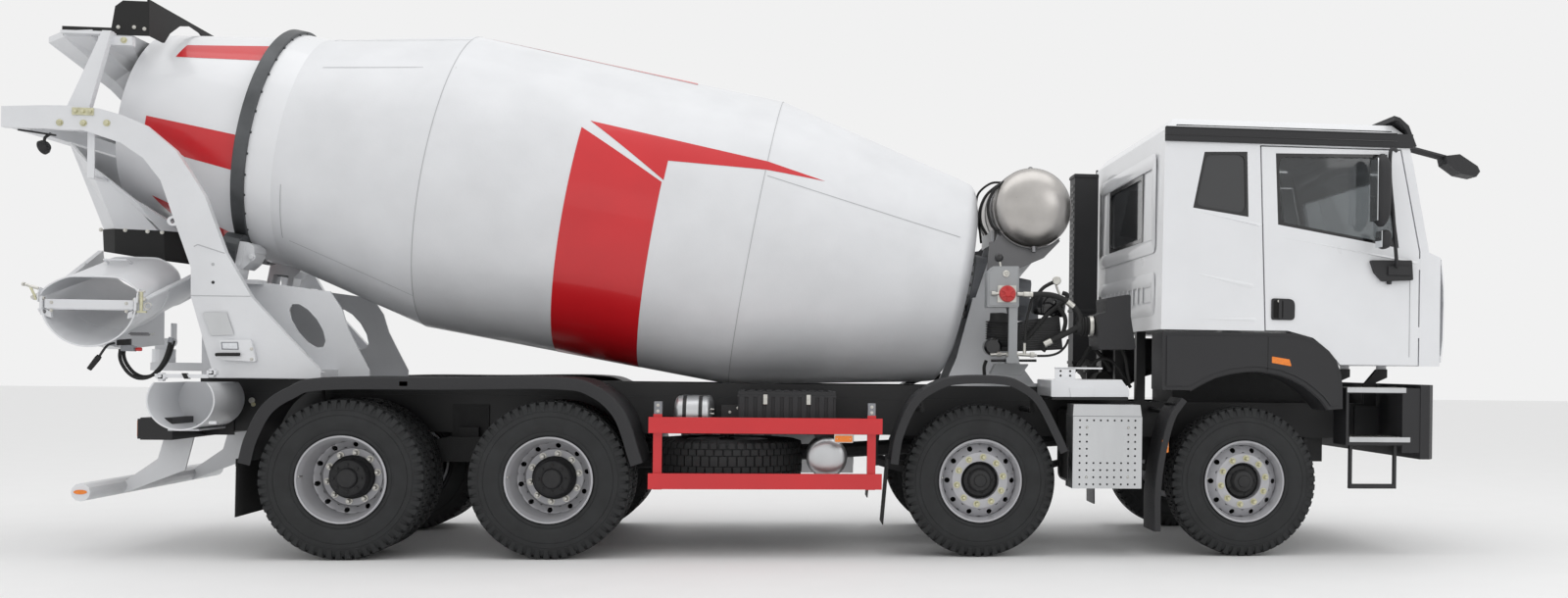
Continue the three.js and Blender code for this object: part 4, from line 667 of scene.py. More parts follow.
def make_drum():
    piece = Piece("drum_look")
    end = -0.12
    outside = [(0.0, end - 0.029), (0.2, end - 0.029), (0.2, end), (0.3, end + 0.004), (0.52, end + 0.024),
               (0.62, -0.082), (0.7, -0.056), (0.742, -0.036), (0.768, -0.016), (0.783, 0.006), (0.79, 0.03)]
    outside += [(shell_radius(s), s) for s in (0.1, 0.8, SEAM_FRONT - 0.004, SEAM_FRONT, SEAM_FRONT + 0.004,
                                               2.2, 3.0, SEAM_REAR - 0.004, SEAM_REAR, SEAM_REAR + 0.004, 4.4,
                                               RING_FLANK)]
    piece.lathe(outside, DRUM_AT, DRUM_AXIS, WELDED, sides=144)
    flank = [(FLANK_R, RING_FLANK), (RING_R - 0.022, RING_AT - 0.004), (RING_R - 0.01, RING_AT - 0.004)]
    piece.lathe(flank, DRUM_AT, DRUM_AXIS, WHITE, sides=144)
    ring = [(RING_R - 0.03, RING_AT - 0.012), (RING_R - 0.004, RING_AT - 0.012), (RING_R, RING_AT - 0.006),
            (RING_R, RING_END - 0.006), (RING_R - 0.005, RING_END), (RING_R - 0.04, RING_END),
            (NECK_R, RING_END + 0.004)]
    piece.lathe(ring, DRUM_AT, DRUM_AXIS, RING, sides=144)
    neck = [(NECK_R, RING_END), (shell_radius(5.5), 5.5), (shell_radius(5.92), 5.92), (MOUTH_R + 0.001, 5.955),
            (MOUTH_R, MOUTH_AT - 0.004), (MOUTH_R - 0.006, MOUTH_AT), (MOUTH_R - 0.018, MOUTH_AT - 0.004)]
    piece.lathe(neck, DRUM_AT, DRUM_AXIS, WHITE, sides=144)
    inside = [(MOUTH_R - 0.018, MOUTH_AT - 0.004), (NECK_R - 0.018, RING_END), (BELLY_R - 0.018, SEAM_REAR),
              (BELLY_R - 0.018, SEAM_FRONT), (FRONT_R - 0.018, 0.018), (0, end + 0.025)]
    piece.lathe(inside, DRUM_AT, DRUM_AXIS, STEEL, sides=72)
    add_blades(piece)
    for outline in (BAND, ARROW, TOP_ARROW, NECK_HIGH, NECK_MIDDLE, NECK_LOW):
        drum_patch(piece, outline, RED)
        drum_patch(piece, turned_round(outline), RED)
    for s in (SEAM_FRONT, SEAM_REAR):
        drum_line(piece, (s, 0), (s, 360))
    for k in range(3):
        turn = 120 * k
        drum_line(piece, (1.512, 22.0 + turn), (0.06, 21.2 + turn))
        drum_line(piece, (4.7, 39.0 + turn), (3.78, 41.6 + turn))
        drum_line(piece, (4.78, -20.8 + turn), (4.78, -50.0 + turn))
        drum_line(piece, (4.73, -50.0 + turn), (3.81, -54.0 + turn))
    for k in range(36):
        angle = 10 * k
        rim = DRUM_AT + DRUM_AXIS * (RING_AT - 0.014)
        a = math.radians(angle)
        out = ACROSS * math.cos(a) + LIFT * math.sin(a)
        piece.bolt(rim + out * (RING_R - 0.019), -DRUM_AXIS, 0.009, 0.006, RING, washer=False)
    for k in range(16):
        a = 2 * math.pi * k / 16
        out = ACROSS * math.cos(a) + LIFT * math.sin(a)
        piece.bolt(DRUM_AT + DRUM_AXIS * (end - 0.002) + out * 0.235, -DRUM_AXIS, 0.016, 0.018, STEEL)
    piece.done("drum", "white_paint", "drum", angle=24)


def add_blades(piece):
    """The two mixing spirals that show in the mouth."""
    for start in (0, 180):
        rows = []
        for k in range(49):
            s = MOUTH_AT - 0.03 - 0.035 * k
            angle = math.radians(start + 6.0 * k)
            out = ACROSS * math.cos(angle) + LIFT * math.sin(angle)
            reach = min(0.3, 0.06 + 0.02 * k)
            radius = shell_radius(max(s, RING_END + 0.01)) - 0.02
            foot = DRUM_AT + DRUM_AXIS * s + out * radius
            rows.append([foot, foot - out * reach])
        piece.shell(rows, STEEL, 0.006)


make_drum()


# ---------------------------------------------------------------- places and outlines

AXLE = [joint_at(f"spin_{k}_right").x for k in (1, 2, 3, 4)]
SIDE = 1.225  # the cab's outside


def at(x, y, z):
    """A point measured from the first axle."""
    return Vector((AXLE[0] + x, y, z))


def shifted(outline):
    """Side outlines of (x, z) are drawn from the first axle."""
    return [(AXLE[0] + x, z) for x, z in outline]


def rounded(outline, radius, steps=5):
    """The outline with its corners rounded; a radius may be given for each corner."""
    made = []
    count = len(outline)
    radii = radius if isinstance(radius, list) else [radius] * count
    for i, corner in enumerate(outline):
        corner = Vector(corner)
        back = Vector(outline[i - 1]) - corner
        ahead = Vector(outline[(i + 1) % count]) - corner
        if radii[i] <= 0:
            made.append(tuple(corner))
            continue
        half = back.angle(ahead) / 2
        reach = min(radii[i] / math.tan(half), back.length * 0.49, ahead.length * 0.49)
        first, last = corner + back.normalized() * reach, corner + ahead.normalized() * reach
        for k in range(steps + 1):
            t = k / steps
            made.append(tuple(first * (1 - t) ** 2 + corner * 2 * t * (1 - t) + last * t * t))
    return made


def inset(outline, distance):
    """The outline moved inwards, whichever way round it runs."""
    count = len(outline)
    area = sum(outline[i - 1][0] * outline[i][1] - outline[i][0] * outline[i - 1][1] for i in range(count))
    sign = 1 if area > 0 else -1
    made = []
    for i in range(count):
        before = (Vector(outline[i]) - Vector(outline[i - 1])).normalized()
        after = (Vector(outline[(i + 1) % count]) - Vector(outline[i])).normalized()
        n0, n1 = Vector((-before.y, before.x)) * sign, Vector((-after.y, after.x)) * sign
        share = distance / max(0.2, 1 + n0.dot(n1))
        made.append(tuple(Vector(outline[i]) + (n0 + n1) * share))
    return made


def add_rings(piece, rings, material, ends=False):
    """Faces between neighbouring rings, and back to the first one or over both ends."""
    count = len(rings[0])
    faces = []
    for k in range(len(rings) - 1 if ends else len(rings)):
        a, b = k * count, ((k + 1) % len(rings)) * count
        faces += [(a + i, a + (i + 1) % count, b + (i + 1) % count, b + i) for i in range(count)]
    if ends:
        last = (len(rings) - 1) * count
        faces += [tuple(range(count)), tuple(range(last, last + count))]
    piece.faces([point for ring in rings for point in ring], faces, material)


def side_frame(piece, outer, inner, y0, y1, material):
    """A frame between two side outlines of as many points, from y0 to y1."""
    edges = ((outer, y0), (outer, y1), (inner, y1), (inner, y0))
    add_rings(piece, [[Vector((x, y, z)) for x, z in outline] for outline, y in edges], material)


def strip(piece, line, width, side_points, material):
    """A flat bar whose section is given in (out, up) and which follows points."""
    rows = []
    for i, point in enumerate(line):
        ahead = (line[min(i + 1, len(line) - 1)] - line[max(i - 1, 0)]).normalized()
        out = Vector((0, width, 0))
        up = out.cross(ahead).normalized()
        rows.append([point + out * u + up * v for u, v in side_points])
    add_rings(piece, rows, material, ends=True)


# ---------------------------------------------------------------- CAD nodes that stay

KEPT = {
    (BLACK, 0.004): ["chassis_frame", "mixer_subframe"],
    (CAST, 0.004): ["knuckle_1_right", "knuckle_1_left", "knuckle_2_right", "knuckle_2_left"],
    (CAST, 0.006): ["front_axle_1", "front_axle_2", "rear_bogie"],
    (CAST, 0.008): ["engine_driveline"],
    (GREY, 0.006): ["drum_drive"],
    (RING, 0.003): ["roller_right", "roller_left"],
    (WELDED, 0.003): ["front_pedestal", "rear_support", "charging_hopper", "discharge_funnel",
                      "underride_guard", "chute_arm"],
    (WELDED, 0.004): ["hopper_frame"],
    (RED, 0.004): ["side_guard"],
    (PLASTIC, 0.006): ["battery_box", "sun_visor"],
    (PLASTIC, 0.008): ["air_intake"],
    (PLASTIC, 0.01): ["bumper"],
    (ALUMINIUM, 0.02): ["fuel_tank"],
    (WHITE, 0.01): ["cab_shell"],
    (WHITE, 0.004): ["door_right", "door_left"],
    (WHITE, 0.012): ["front_panel"],
    (SEAT, 0.02): ["cab_interior"],
    (GLASS, 0): ["windscreen", "rear_window", "door_window_right", "door_window_left"],
    (TINT, 0): ["quarter_window_right", "quarter_window_left"],
}


def finish_cad(name, material, bevel):
    thing = frame["nodes"][name]
    thing.data.materials.clear()
    thing.data.materials.append(material)
    soften(thing, bevel)


for (surface, edge), names in KEPT.items():
    for kept in names:
        finish_cad(kept, surface, edge)


# ---------------------------------------------------------------- cab

DOOR_WINDOW = [(0.206, 2.405), (1.12, 2.255), (1.022, 2.935), (0.183, 2.92)]
QUARTER_WINDOW = [(-0.425, 2.512), (-0.014, 2.455), (-0.028, 2.925), (-0.345, 2.915)]


def window_rubber(name, outline, radii, y, side, body, width=0.02):
    piece = Piece(name)
    edge = inset(outline, 0.0008)
    outer = rounded(edge, [0.004] * 4, steps=6)
    inner = rounded(inset(outline, width), radii, steps=6)
    side_frame(piece, shifted(outer), shifted(inner), side * (y - 0.016), side * y, GLOSS)
    piece.done(body, "black_plastic", bevel=0.002)


def cab_side(side):
    word = "right" if side < 0 else "left"
    window_rubber(f"quarter_rubber_{word}", QUARTER_WINDOW, [0.06] * 4, SIDE - 0.004, side, "cab")
    window_rubber(f"door_rubber_{word}", DOOR_WINDOW, [0.07] * 4, SIDE - 0.004, side, f"door_{word}", 0.024)
    add_handle(word, side)
    add_creases(word, side)
    add_cab_mirrors(word, side)
    add_fender(word, side)
    add_steps(word, side)


def add_handle(word, side):
    piece = Piece(f"door_handle_{word}")
    plate = [(0.162, 1.716), (0.335, 1.716), (0.338, 1.868), (0.162, 1.872)]
    piece.plate(plate, side * (SIDE + 0.001), side * (SIDE + 0.01), PLASTIC, [0.02, 0.03, 0.05, 0.02])
    # The well behind the grip is a flat plate in painted shade.
    well_shade = [(0.176, 1.728), (0.25, 1.728), (0.25, 1.858), (0.176, 1.858)]
    piece.plate(well_shade, side * (SIDE + 0.0095), side * (SIDE + 0.0105), RECESS_SHADE, 0.014)
    grip = [(0.214, 1.722), (0.238, 1.722), (0.238, 1.864), (0.214, 1.864)]
    piece.plate(grip, side * (SIDE + 0.008), side * (SIDE + 0.015), PLASTIC, 0.008)
    piece.disc(at(0.214, side * (SIDE + 0.011), 1.852), (0, side, 0), 0.009, 0.003, ZINC, sides=16)
    piece.done(f"door_{word}", "black_plastic", bevel=0.003)


def crease(piece, start, end, height, side):
    """A long pressed wedge on a panel, from a point to a point, widest at its end."""
    (x0, z0), (x1, z1) = start, end
    y0, y1 = side * SIDE, side * (SIDE + 0.007)
    points = [at(x0, y0, z0), at(x1, y0, z1 + height), at(x1 + 0.02, y0, z1), at(x1, y0, z1 - height),
              at(x1 - 0.03, y1, z1)]
    piece.faces(points, [(0, 1, 4), (1, 2, 4), (2, 3, 4), (3, 0, 4), (0, 3, 2, 1)], WHITE)


def add_creases(word, side):
    panel = Piece(f"side_creases_{word}")
    crease(panel, (-0.46, 2.055), (0.02, 1.955), 0.02, side)
    crease(panel, (-0.42, 1.716), (0.04, 1.716), 0.014, side)
    crease(panel, (-0.47, 2.505), (0.07, 2.4), 0.012, side)
    panel.done("cab", "white_paint", bevel=0.0)
    door = Piece(f"door_creases_{word}")
    crease(door, (0.165, 2.33), (1.255, 2.15), 0.012, side)
    door.block((1.205, side * (SIDE + 0.0005), 1.46), (1.209, side * (SIDE + 0.003), 2.1), SEAM)
    door.done(f"door_{word}", "white_paint")


def add_cab_mirrors(word, side):
    piece = Piece(f"mirror_look_{word}")

    def place(x, out, z):
        return at(x, side * (SIDE + out), z)

    base = [(0.892, 2.16), (1.205, 2.165), (1.215, 2.02), (0.985, 2.008), (0.925, 2.07)]
    piece.plate(base, side * (SIDE + 0.001), side * (SIDE + 0.04), PLASTIC, 0.012)
    piece.box(place(1.02, 0.038, 2.055), place(1.2, 0.052, 2.12), PLASTIC)
    piece.lathe([(0, 0), (0.02, 0), (0.016, 0.022), (0, 0.024)], place(1.04, 0.02, 2.01), (0, 0, -1), PLASTIC,
                sides=20)
    pole = [place(1.085, 0.045, 2.11), place(1.055, 0.11, 2.175), place(1.03, 0.148, 2.27),
            place(1.01, 0.15, 2.5), place(0.985, 0.15, 2.74), place(0.985, 0.15, 2.93),
            place(1.03, 0.12, 2.955), place(1.065, 0.06, 2.955)]
    piece.curve(pole, 0.0135, PLASTIC, steps=8, sides=12)
    add_mirror_head(piece, place(0.905, 0.185, 2.65), (0.105, 0.088, 0.258))
    add_mirror_head(piece, place(0.935, 0.17, 2.3), (0.076, 0.072, 0.068))
    piece.done(f"door_{word}", "black_plastic", f"mirror_{word}", angle=40)


def add_mirror_head(piece, centre, halves):
    """A housing like a rounded box, with its glass looking back."""
    hx, hy, hz = halves
    rows = []
    count = 28
    for k in range(15):
        t = -1 + 2 * k / 14
        shrink = (1 - abs(t) ** 5) ** 0.5 if abs(t) < 1 else 0.05
        row = []
        for i in range(count):
            a = 2 * math.pi * i / count
            cx, cy = math.cos(a), math.sin(a)
            swell = (abs(cx) ** 4 + abs(cy) ** 4) ** -0.25
            row.append(centre + Vector((cx * swell * hx * 0.5 * max(shrink, 0.25), cy * swell * hy *
                                        max(shrink, 0.4), t * hz)))
        rows.append(row)
    piece.shell(rows, PLASTIC, 0, closed=True)
    piece.faces(rows[0], [tuple(range(count))], PLASTIC)
    piece.faces(rows[-1], [tuple(range(count))], PLASTIC)
    back = centre.x - hx * 0.5
    piece.box((back - 0.002, centre.y - hy * 0.8, centre.z - hz * 0.86),
              (back + 0.004, centre.y + hy * 0.8, centre.z + hz * 0.86), MIRROR)


ARCH = [(-0.435, 1.2), (-0.34, 1.255), (-0.253, 1.296), (-0.15, 1.326), (-0.037, 1.343), (0.06, 1.348),
        (0.13, 1.341), (0.235, 1.322), (0.328, 1.288), (0.41, 1.246), (0.476, 1.198), (0.545, 1.138),
        (0.599, 1.069)]
FENDER_TOP = [(0.706, 1.078), (0.704, 1.24), (0.69, 1.34), (0.655, 1.425), (0.6, 1.495), (0.53, 1.55),
              (0.45, 1.592), (0.37, 1.614), (0.28, 1.622), (-0.638, 1.622)]


def add_fender(word, side):
    piece = Piece(f"fender_look_{word}")
    body = [(-0.638, 1.202), (-0.435, 1.202)] + ARCH[1:] + FENDER_TOP
    piece.plate(body, side * (SIDE - 0.012), side * (SIDE + 0.006), PLASTIC)
    inner = inset(body, 0.03)
    piece.plate(inner, side * (SIDE + 0.005), side * (SIDE + 0.014), PLASTIC)
    lip = [at(x, side * (SIDE - 0.16), z + 0.004) for x, z in ARCH]
    strip(piece, lip, 1.0, [(-0.16, 0.0), (0.16, 0.0), (0.16, 0.012), (-0.16, 0.012)], PLASTIC)
    piece.block((-0.638, side * (SIDE - 0.32), 1.205), (-0.625, side * (SIDE - 0.01), 1.615), PLASTIC)
    # A thin upright strip in painted shade stands for the split in the fender.
    piece.block((0.137, side * (SIDE + 0.0135), 1.35), (0.141, side * (SIDE + 0.0148), 1.59), RECESS_SHADE)
    lamp = [(0.168, 1.452), (0.168, 1.406), (0.315, 1.382), (0.3, 1.432)]
    piece.plate(lamp, side * (SIDE + 0.012), side * (SIDE + 0.0149), AMBER, 0.006)
    piece.done("cab", "black_plastic", f"cab_fender_{word}", bevel=0.005)


def add_steps(word, side):
    """Aluminium treads on the steps."""
    piece = Piece(f"step_look_{word}")
    out = SIDE - 0.004
    for x0, x1, z in ((0.742, 1.19, 1.232), (0.762, 1.225, 0.871)):
        tread = [at(x0, side * 0.98, z), at(x1, side * out, z + 0.003)]
        piece.box(tread[0], tread[1], ALUMINIUM)
        piece.block((x0, side * (out - 0.004), z - 0.034), (x1, side * (out + 0.0035), z + 0.003), ALUMINIUM)
        for k in range(14):
            x = x0 + 0.02 + (x1 - x0 - 0.04) * k / 13
            piece.block((x - 0.004, side * 1.0, z + 0.003), (x + 0.004, side * (out - 0.01), z + 0.006), ZINC)
    piece.done("chassis", "aluminium", bevel=0.002)


both(cab_side)


def make_rear_window_rubber():
    piece = Piece("rear_window_rubber")
    low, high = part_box("rear_window")
    outline = [(low.y, low.z), (high.y, low.z), (high.y, high.z), (low.y, high.z)]
    outer, inner = rounded(outline, [0.004] * 4, 6), rounded(inset(outline, 0.03), [0.07] * 4, 6)
    x0, x1 = frame_face_x("cab_shell") + 0.002, low.x - 0.0005
    edges = ((outer, x0), (outer, x1), (inner, x1), (inner, x0))
    add_rings(piece, [[Vector((x, y, z)) for y, z in ring] for ring, x in edges], GLOSS)
    piece.done("cab", "black_plastic", bevel=0.003)


def frame_face_x(node):
    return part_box(node)[0].x


def make_rear_wall():
    """Pressed frames and ribs on the back of the cab."""
    piece = Piece("cab_back_look")
    x = frame_face_x("cab_shell")
    for y0, y1, z0, z1 in ((-1.02, 1.02, 2.2, 2.93), (-1.02, 1.02, 1.74, 2.06)):
        outline = [(y0, z0), (y1, z0), (y1, z1), (y0, z1)]
        outer, inner = rounded(outline, 0.07, 4), rounded(inset(outline, 0.035), 0.05, 4)
        rings = []
        for ring, depth in ((outer, 0.0), (inner, -0.008), (inset(inner, 0.05), -0.008),
                            (inset(inner, 0.07), 0.0)):
            rings.append([Vector((x + depth, y, z)) for y, z in ring])
        piece.shell(rings, WHITE, 0, closed=True)
    for k in range(9):
        y = -0.64 + 0.16 * k
        piece.prism([(y - 0.02, 1.82), (y + 0.02, 1.82), (y + 0.02, 1.98), (y - 0.02, 1.98)], "x", x - 0.006, x,
                    WHITE)
    piece.done("cab", "white_paint", bevel=0.002)


make_rear_window_rubber()
make_rear_wall()


# ---------------------------------------------------------------- mudguards and what hangs along the chassis

GUARD_OUT = 1.25
FRONT_RUN = [(-0.69, 0.19), (-0.69, 0.48), (-0.655, 0.76), (-0.59, 1.01), (-0.5, 1.15)]
SECOND_RUN = [(-2.583, 0.667), (-2.544, 0.885), (-2.428, 1.124), (-2.246, 1.251), (-2.078, 1.29),
              (-1.793, 1.29), (-1.65, 1.244), (-1.505, 1.132), (-1.373, 0.893), (-1.314, 0.765)]
REAR_RUN = [(-6.921, 0.656), (-6.875, 0.835), (-6.773, 1.035), (-6.613, 1.157), (-6.384, 1.229),
            (-5.6, 1.24), (-4.861, 1.25), (-4.601, 1.198), (-4.398, 1.015), (-4.273, 0.667)]


def mudguard_section(side, width, lip):
    """A sheet with a lip turned down along its outer edge, as (out, inwards)."""
    corners = [(-width, 0.002), (-0.01, 0.002), (-0.003, 0.006), (0.0, 0.012), (0.0, lip), (-0.006, lip),
               (-0.01, lip * 0.55), (-0.016, lip * 0.52), (-0.016, 0.016), (-width, 0.012)]
    return [(side * out, inward) for out, inward in corners]


def mudguard_pair(name, run, width, lip, tubes):
    line = smooth_line([at(x, 0, z) for x, z in run], 8)
    piece = Piece(name + "_look")

    def one(side):
        outer = [Vector((p.x, side * GUARD_OUT, p.z)) for p in line]
        strip(piece, outer, 1.0, mudguard_section(side, width, lip), PLASTIC)
        inner = GUARD_OUT - width
        for x in tubes:
            near = min(line, key=lambda p: abs(p.x - at(x, 0, 0).x))
            piece.tube([at(x, side * 0.3, 1.04), at(x, side * inner, 1.04)], 0.021, BLACK, sides=14)
            piece.box(at(x - 0.01, side * (inner - 0.012), 1.02),
                      (at(x + 0.01, 0, 0).x, side * (inner + 0.006), near.z - 0.006), BLACK)
            piece.box(at(x - 0.03, side * (inner + 0.006), 0) + Vector((0, 0, near.z - 0.018)),
                      at(x + 0.03, side * (GUARD_OUT - 0.05), 0) + Vector((0, 0, near.z - 0.01)), BLACK)
    both(one)
    return piece


def mudflap(piece, x, z_top, z_foot, width, side, lean=0.0):
    """A rubber flap with a folded head and two ribs."""
    inner, outer = GUARD_OUT - width, GUARD_OUT - 0.004
    for y0, y1, z0, z1, thick in ((inner, outer, z_foot, z_top, 0.007),
                                  (inner, outer, z_top - 0.05, z_top, 0.012),
                                  (inner + 0.03, inner + 0.05, z_foot + 0.03, z_top, 0.01),
                                  (outer - 0.05, outer - 0.03, z_foot + 0.03, z_top, 0.01)):
        def place(z, dx, y):
            return at(x - lean * (z_top - z) / (z_top - z_foot) + dx, side * y, z)
        points = [place(z, dx, y) for z in (z0, z1) for dx in (-thick / 2, thick / 2) for y in (y0, y1)]
        piece.faces(points, [(0, 1, 3, 2), (4, 6, 7, 5), (0, 4, 5, 1), (2, 3, 7, 6), (0, 2, 6, 4),
                             (1, 5, 7, 3)], RUBBER)


def side_marker(piece, x, y, z, side, length=0.105, height=0.048, plate=True):
    """An amber lamp with its reflector on a small holder."""
    if plate:
        outline = [(x - length / 2 - 0.006, z - height / 2 - 0.006),
                           (x + length / 2 + 0.006, z - height / 2 - 0.006),
                           (x + length / 2 + 0.006, z + height / 2 + 0.016),
                           (x - length / 2 - 0.006, z + height / 2 + 0.016)]
        piece.plate(outline, side * (y - 0.004), side * y, ZINC, 0.004, 2)
    lens = [(x - length / 2, z - height / 2), (x + length / 2, z - height / 2),
                    (x + length / 2, z + height / 2), (x - length / 2, z + height / 2)]
    piece.plate(lens, side * y, side * (y + 0.009), AMBER, 0.008, 3)
    middle = [(x - length * 0.22, z - height * 0.3), (x + length * 0.22, z - height * 0.3),
                      (x + length * 0.22, z + height * 0.3), (x - length * 0.22, z + height * 0.3)]
    piece.plate(middle, side * (y + 0.009), side * (y + 0.012), AMBER, 0.006, 3)
    for dx in (-length * 0.38, length * 0.38):
        piece.lathe([(0, 0), (0.004, 0), (0.003, 0.002), (0, 0.002)], at(x + dx, side * (y + 0.009), z),
                    (0, side, 0), ZINC, sides=10)


def make_mudguards():
    piece = mudguard_pair("front_mudguards", FRONT_RUN, 0.33, 0.05, [-0.525])
    both(lambda side: side_marker(piece, -0.612, GUARD_OUT - 0.013, 0.8, side, 0.048, 0.09, False))
    piece.done("chassis", "black_plastic", "front_mudguards", bevel=0.002)
    piece = mudguard_pair("second_mudguards", SECOND_RUN, 0.33, 0.062, [-2.33, -1.53])
    both(lambda side: mudflap(piece, -2.59, 0.7, 0.24, 0.33, side, 0.036))
    both(lambda side: mudflap(piece, -1.318, 0.79, 0.56, 0.3, side))
    piece.done("chassis", "black_plastic", "second_mudguards", bevel=0.002)
    piece = mudguard_pair("rear_mudguards", REAR_RUN, 0.64, 0.088, [-6.56, -4.605])
    both(lambda side: mudflap(piece, -6.921, 0.68, 0.292, 0.64, side, 0.004))
    both(lambda side: side_marker(piece, -5.86, GUARD_OUT - 0.012, 1.19, side, 0.125, 0.056, False))
    piece.done("chassis", "black_plastic", "rear_mudguards", bevel=0.002)


make_mudguards()


def make_side_guard():
    """Pressed ridges on the rails, the lamp under the upper one, the posts and their bolts."""
    piece = Piece("side_guard_trim")
    x0, x1 = -4.238, -2.638
    for low, high in ((0.87, 0.98), (0.485, 0.593)):
        height = high - low
        section = [(1.2495, low + 0.006), (1.2495, low + height * 0.46), (1.242, low + height * 0.5),
                   (1.242, low + height * 0.53), (1.2495, low + height * 0.57), (1.2495, high - 0.006),
                   (1.235, high - 0.001), (1.235, low + 0.001)]
        section = [(-y, z) for y, z in section]
        piece.rib(section, x0, x1, RED)
        piece.block((x0 + 0.004, -1.2497, low + height * 0.62), (x1 - 0.004, -1.2488, low + height * 0.66), RED)
    for x in (-4.18, -2.71):
        # The holes in the rails are flat discs in painted shade.
        for z in (0.925, 0.54):
            piece.lathe([(0, 0), (0.009, 0), (0.007, 0.0015), (0, 0.0015)], at(x, -1.2482, z), (0, -1, 0), RECESS_SHADE,
                        sides=16)
        piece.block((x - 0.026, -1.216, 0.99), (x + 0.026, -1.15, 1.085), GREY)
        for z in (1.02, 1.06):
            piece.bolt(at(x, -1.216, z), (0, -1, 0), 0.008, 0.008, ZINC)
        piece.block((x - 0.03, -1.218, 0.48), (x + 0.03, -1.186, 0.872), PLASTIC)
    side_marker(piece, -2.905, 1.236, 0.838, -1, 0.12, 0.044)
    piece.done("chassis", "red_paint", bevel=0.002)


make_side_guard()


def domed(radius, half, dome):
    """The profile of a vessel with domed ends."""
    steps = [(0.0, 1.0), (0.35, 0.97), (0.65, 0.82), (0.85, 0.58), (0.96, 0.28), (1.0, 0.0)]
    start = [(radius * r, -half - dome * h) for r, h in steps]
    return start + [(r, -z) for r, z in reversed(start)]


def make_air_tanks():
    piece = Piece("air_tanks_look")
    piece.lathe(domed(0.142, 0.235, 0.048), at(-3.016, -0.865, 0.698), (0, 1, 0), ALUMINIUM, sides=64)
    for y in (-1.03, -0.72):
        piece.band(at(-3.016, y, 0.698), (0, 1, 0), 0.1422, 0.145, -0.015, 0.015, BLACK, sides=48)
        piece.block((-3.1, y - 0.02, 0.835), (-2.93, y + 0.02, 0.9), BLACK)
    piece.block((-3.06, -0.6, 0.66), (-2.97, -0.425, 0.9), BLACK)
    piece.lathe(domed(0.128, 0.095, 0.038), at(-3.955, -0.985, 0.995), (1, 0, 0), ALUMINIUM, sides=64)
    for x in (-4.01, -3.9):
        piece.band(at(x, -0.985, 0.995), (1, 0, 0), 0.1282, 0.1305, -0.013, 0.013, BLACK, sides=48)
    piece.lathe(domed(0.128, 0.095, 0.038), at(-3.955, -0.68, 0.995), (1, 0, 0), ALUMINIUM, sides=48)
    piece.block((-4.03, -0.56, 0.88), (-3.88, -0.425, 1.0), BLACK)
    for x, y, z in ((-3.845, -1.05, 1.0), (-3.845, -1.05, 1.03), (-3.838, -0.985, 0.955)):
        piece.lathe([(0, 0), (0.01, 0), (0.01, 0.02), (0.006, 0.02), (0.006, 0.038), (0, 0.038)], at(x, y, z),
                    (1, 0, 0), ZINC, sides=12)
    for k in range(4):
        piece.bolt(at(-3.7 + 0.055 * k, -0.985, 1.01 + 0.03 * (k % 2)), (0, -1, 0), 0.007, 0.01, ZINC)
    piece.block((-3.76, -0.984, 0.94), (-3.5, -0.974, 1.06), BLACK)
    piece.done("chassis", "aluminium", "air_tanks", bevel=0.002)


make_air_tanks()


def make_battery_box():
    """Ribs on the cover and its two latches."""
    piece = Piece("battery_box_trim")
    y = -1.13
    for k in range(11):
        x = -3.612 + 0.0615 * k
        piece.plate([(x - 0.019, 0.95), (x + 0.019, 0.95), (x + 0.019, 1.13), (x - 0.019, 1.13)], y + 0.001,
                    y - 0.011, PLASTIC, 0.012, 3)
        piece.block((x - 0.019, -1.12, 1.159), (x + 0.019, -0.7, 1.166), PLASTIC)
    piece.block((-3.645, y - 0.006, 1.118), (-2.955, y + 0.01, 1.134), PLASTIC)
    for x in (-3.45, -3.15):
        piece.block((x - 0.015, y - 0.018, 1.07), (x + 0.015, y - 0.004, 1.14), ZINC)
    piece.done("chassis", "black_plastic", bevel=0.003)


make_battery_box()


def make_exhaust_box():
    """A folded aluminium box with rows of small holes round its front, over a black silencer."""
    piece = Piece("exhaust_box_look")
    x0, x1, z0, z1 = -1.283, -0.782, 0.496, 1.093
    front = -1.239
    piece.block((x0, front, z0), (x1, -0.97, z1 - 0.085), ALUMINIUM)
    lid = [(x0, z1 - 0.083), (x1, z1 - 0.083), (x1 - 0.012, z1), (x0 + 0.006, z1)]
    piece.plate(lid, front + 0.012, -0.97, ALUMINIUM)
    for k in range(9):
        for row in range(10):
            if 2 <= k <= 6 and 4 <= row <= 8:
                continue
            x, z = x0 + 0.05 + k * (x1 - x0 - 0.1) / 8, z0 + 0.03 + row * 0.0505
            hole = at(x, front - 0.0004, z)
            # Each hole is a flat disc in painted shade inside an aluminium edge.
            piece.lathe([(0, 0.0003), (0.0062, 0.0003), (0.0074, 0.0002), (0.0078, -0.0006)], hole, (0, -1, 0),
                        [RECESS_SHADE, RECESS_SHADE, ALUMINIUM], sides=14, smooth=False)
    for k in (1, 7):
        for row in (1, 8):
            x, z = x0 + 0.05 + k * (x1 - x0 - 0.1) / 8, z0 + 0.03 + row * 0.0505
            piece.bolt(at(x, front + 0.001, z), (0, -1, 0), 0.007, 0.005, ZINC)
    body = [(-1.284, 0.51), (-0.781, 0.51), (-0.781, 1.06), (-1.284, 1.06)]
    piece.plate(body, -0.968, -0.64, BLACK, [0.07, 0.07, 0.04, 0.04], 6)
    piece.block((-1.1, -0.645, 0.88), (-0.965, -0.4253, 0.96), BLACK)
    for x in (-1.18, -0.94):
        piece.lathe([(0, 0), (0.007, 0), (0.007, -0.022), (0.012, -0.022), (0.012, -0.034), (0.006, -0.034),
                     (0.003, -0.062), (0, -0.062)], at(x, -1.16, z0 + 0.065), (0, 0, 1), ZINC, sides=12)
    piece.done("chassis", "aluminium", "exhaust_box", bevel=0.005)


make_exhaust_box()


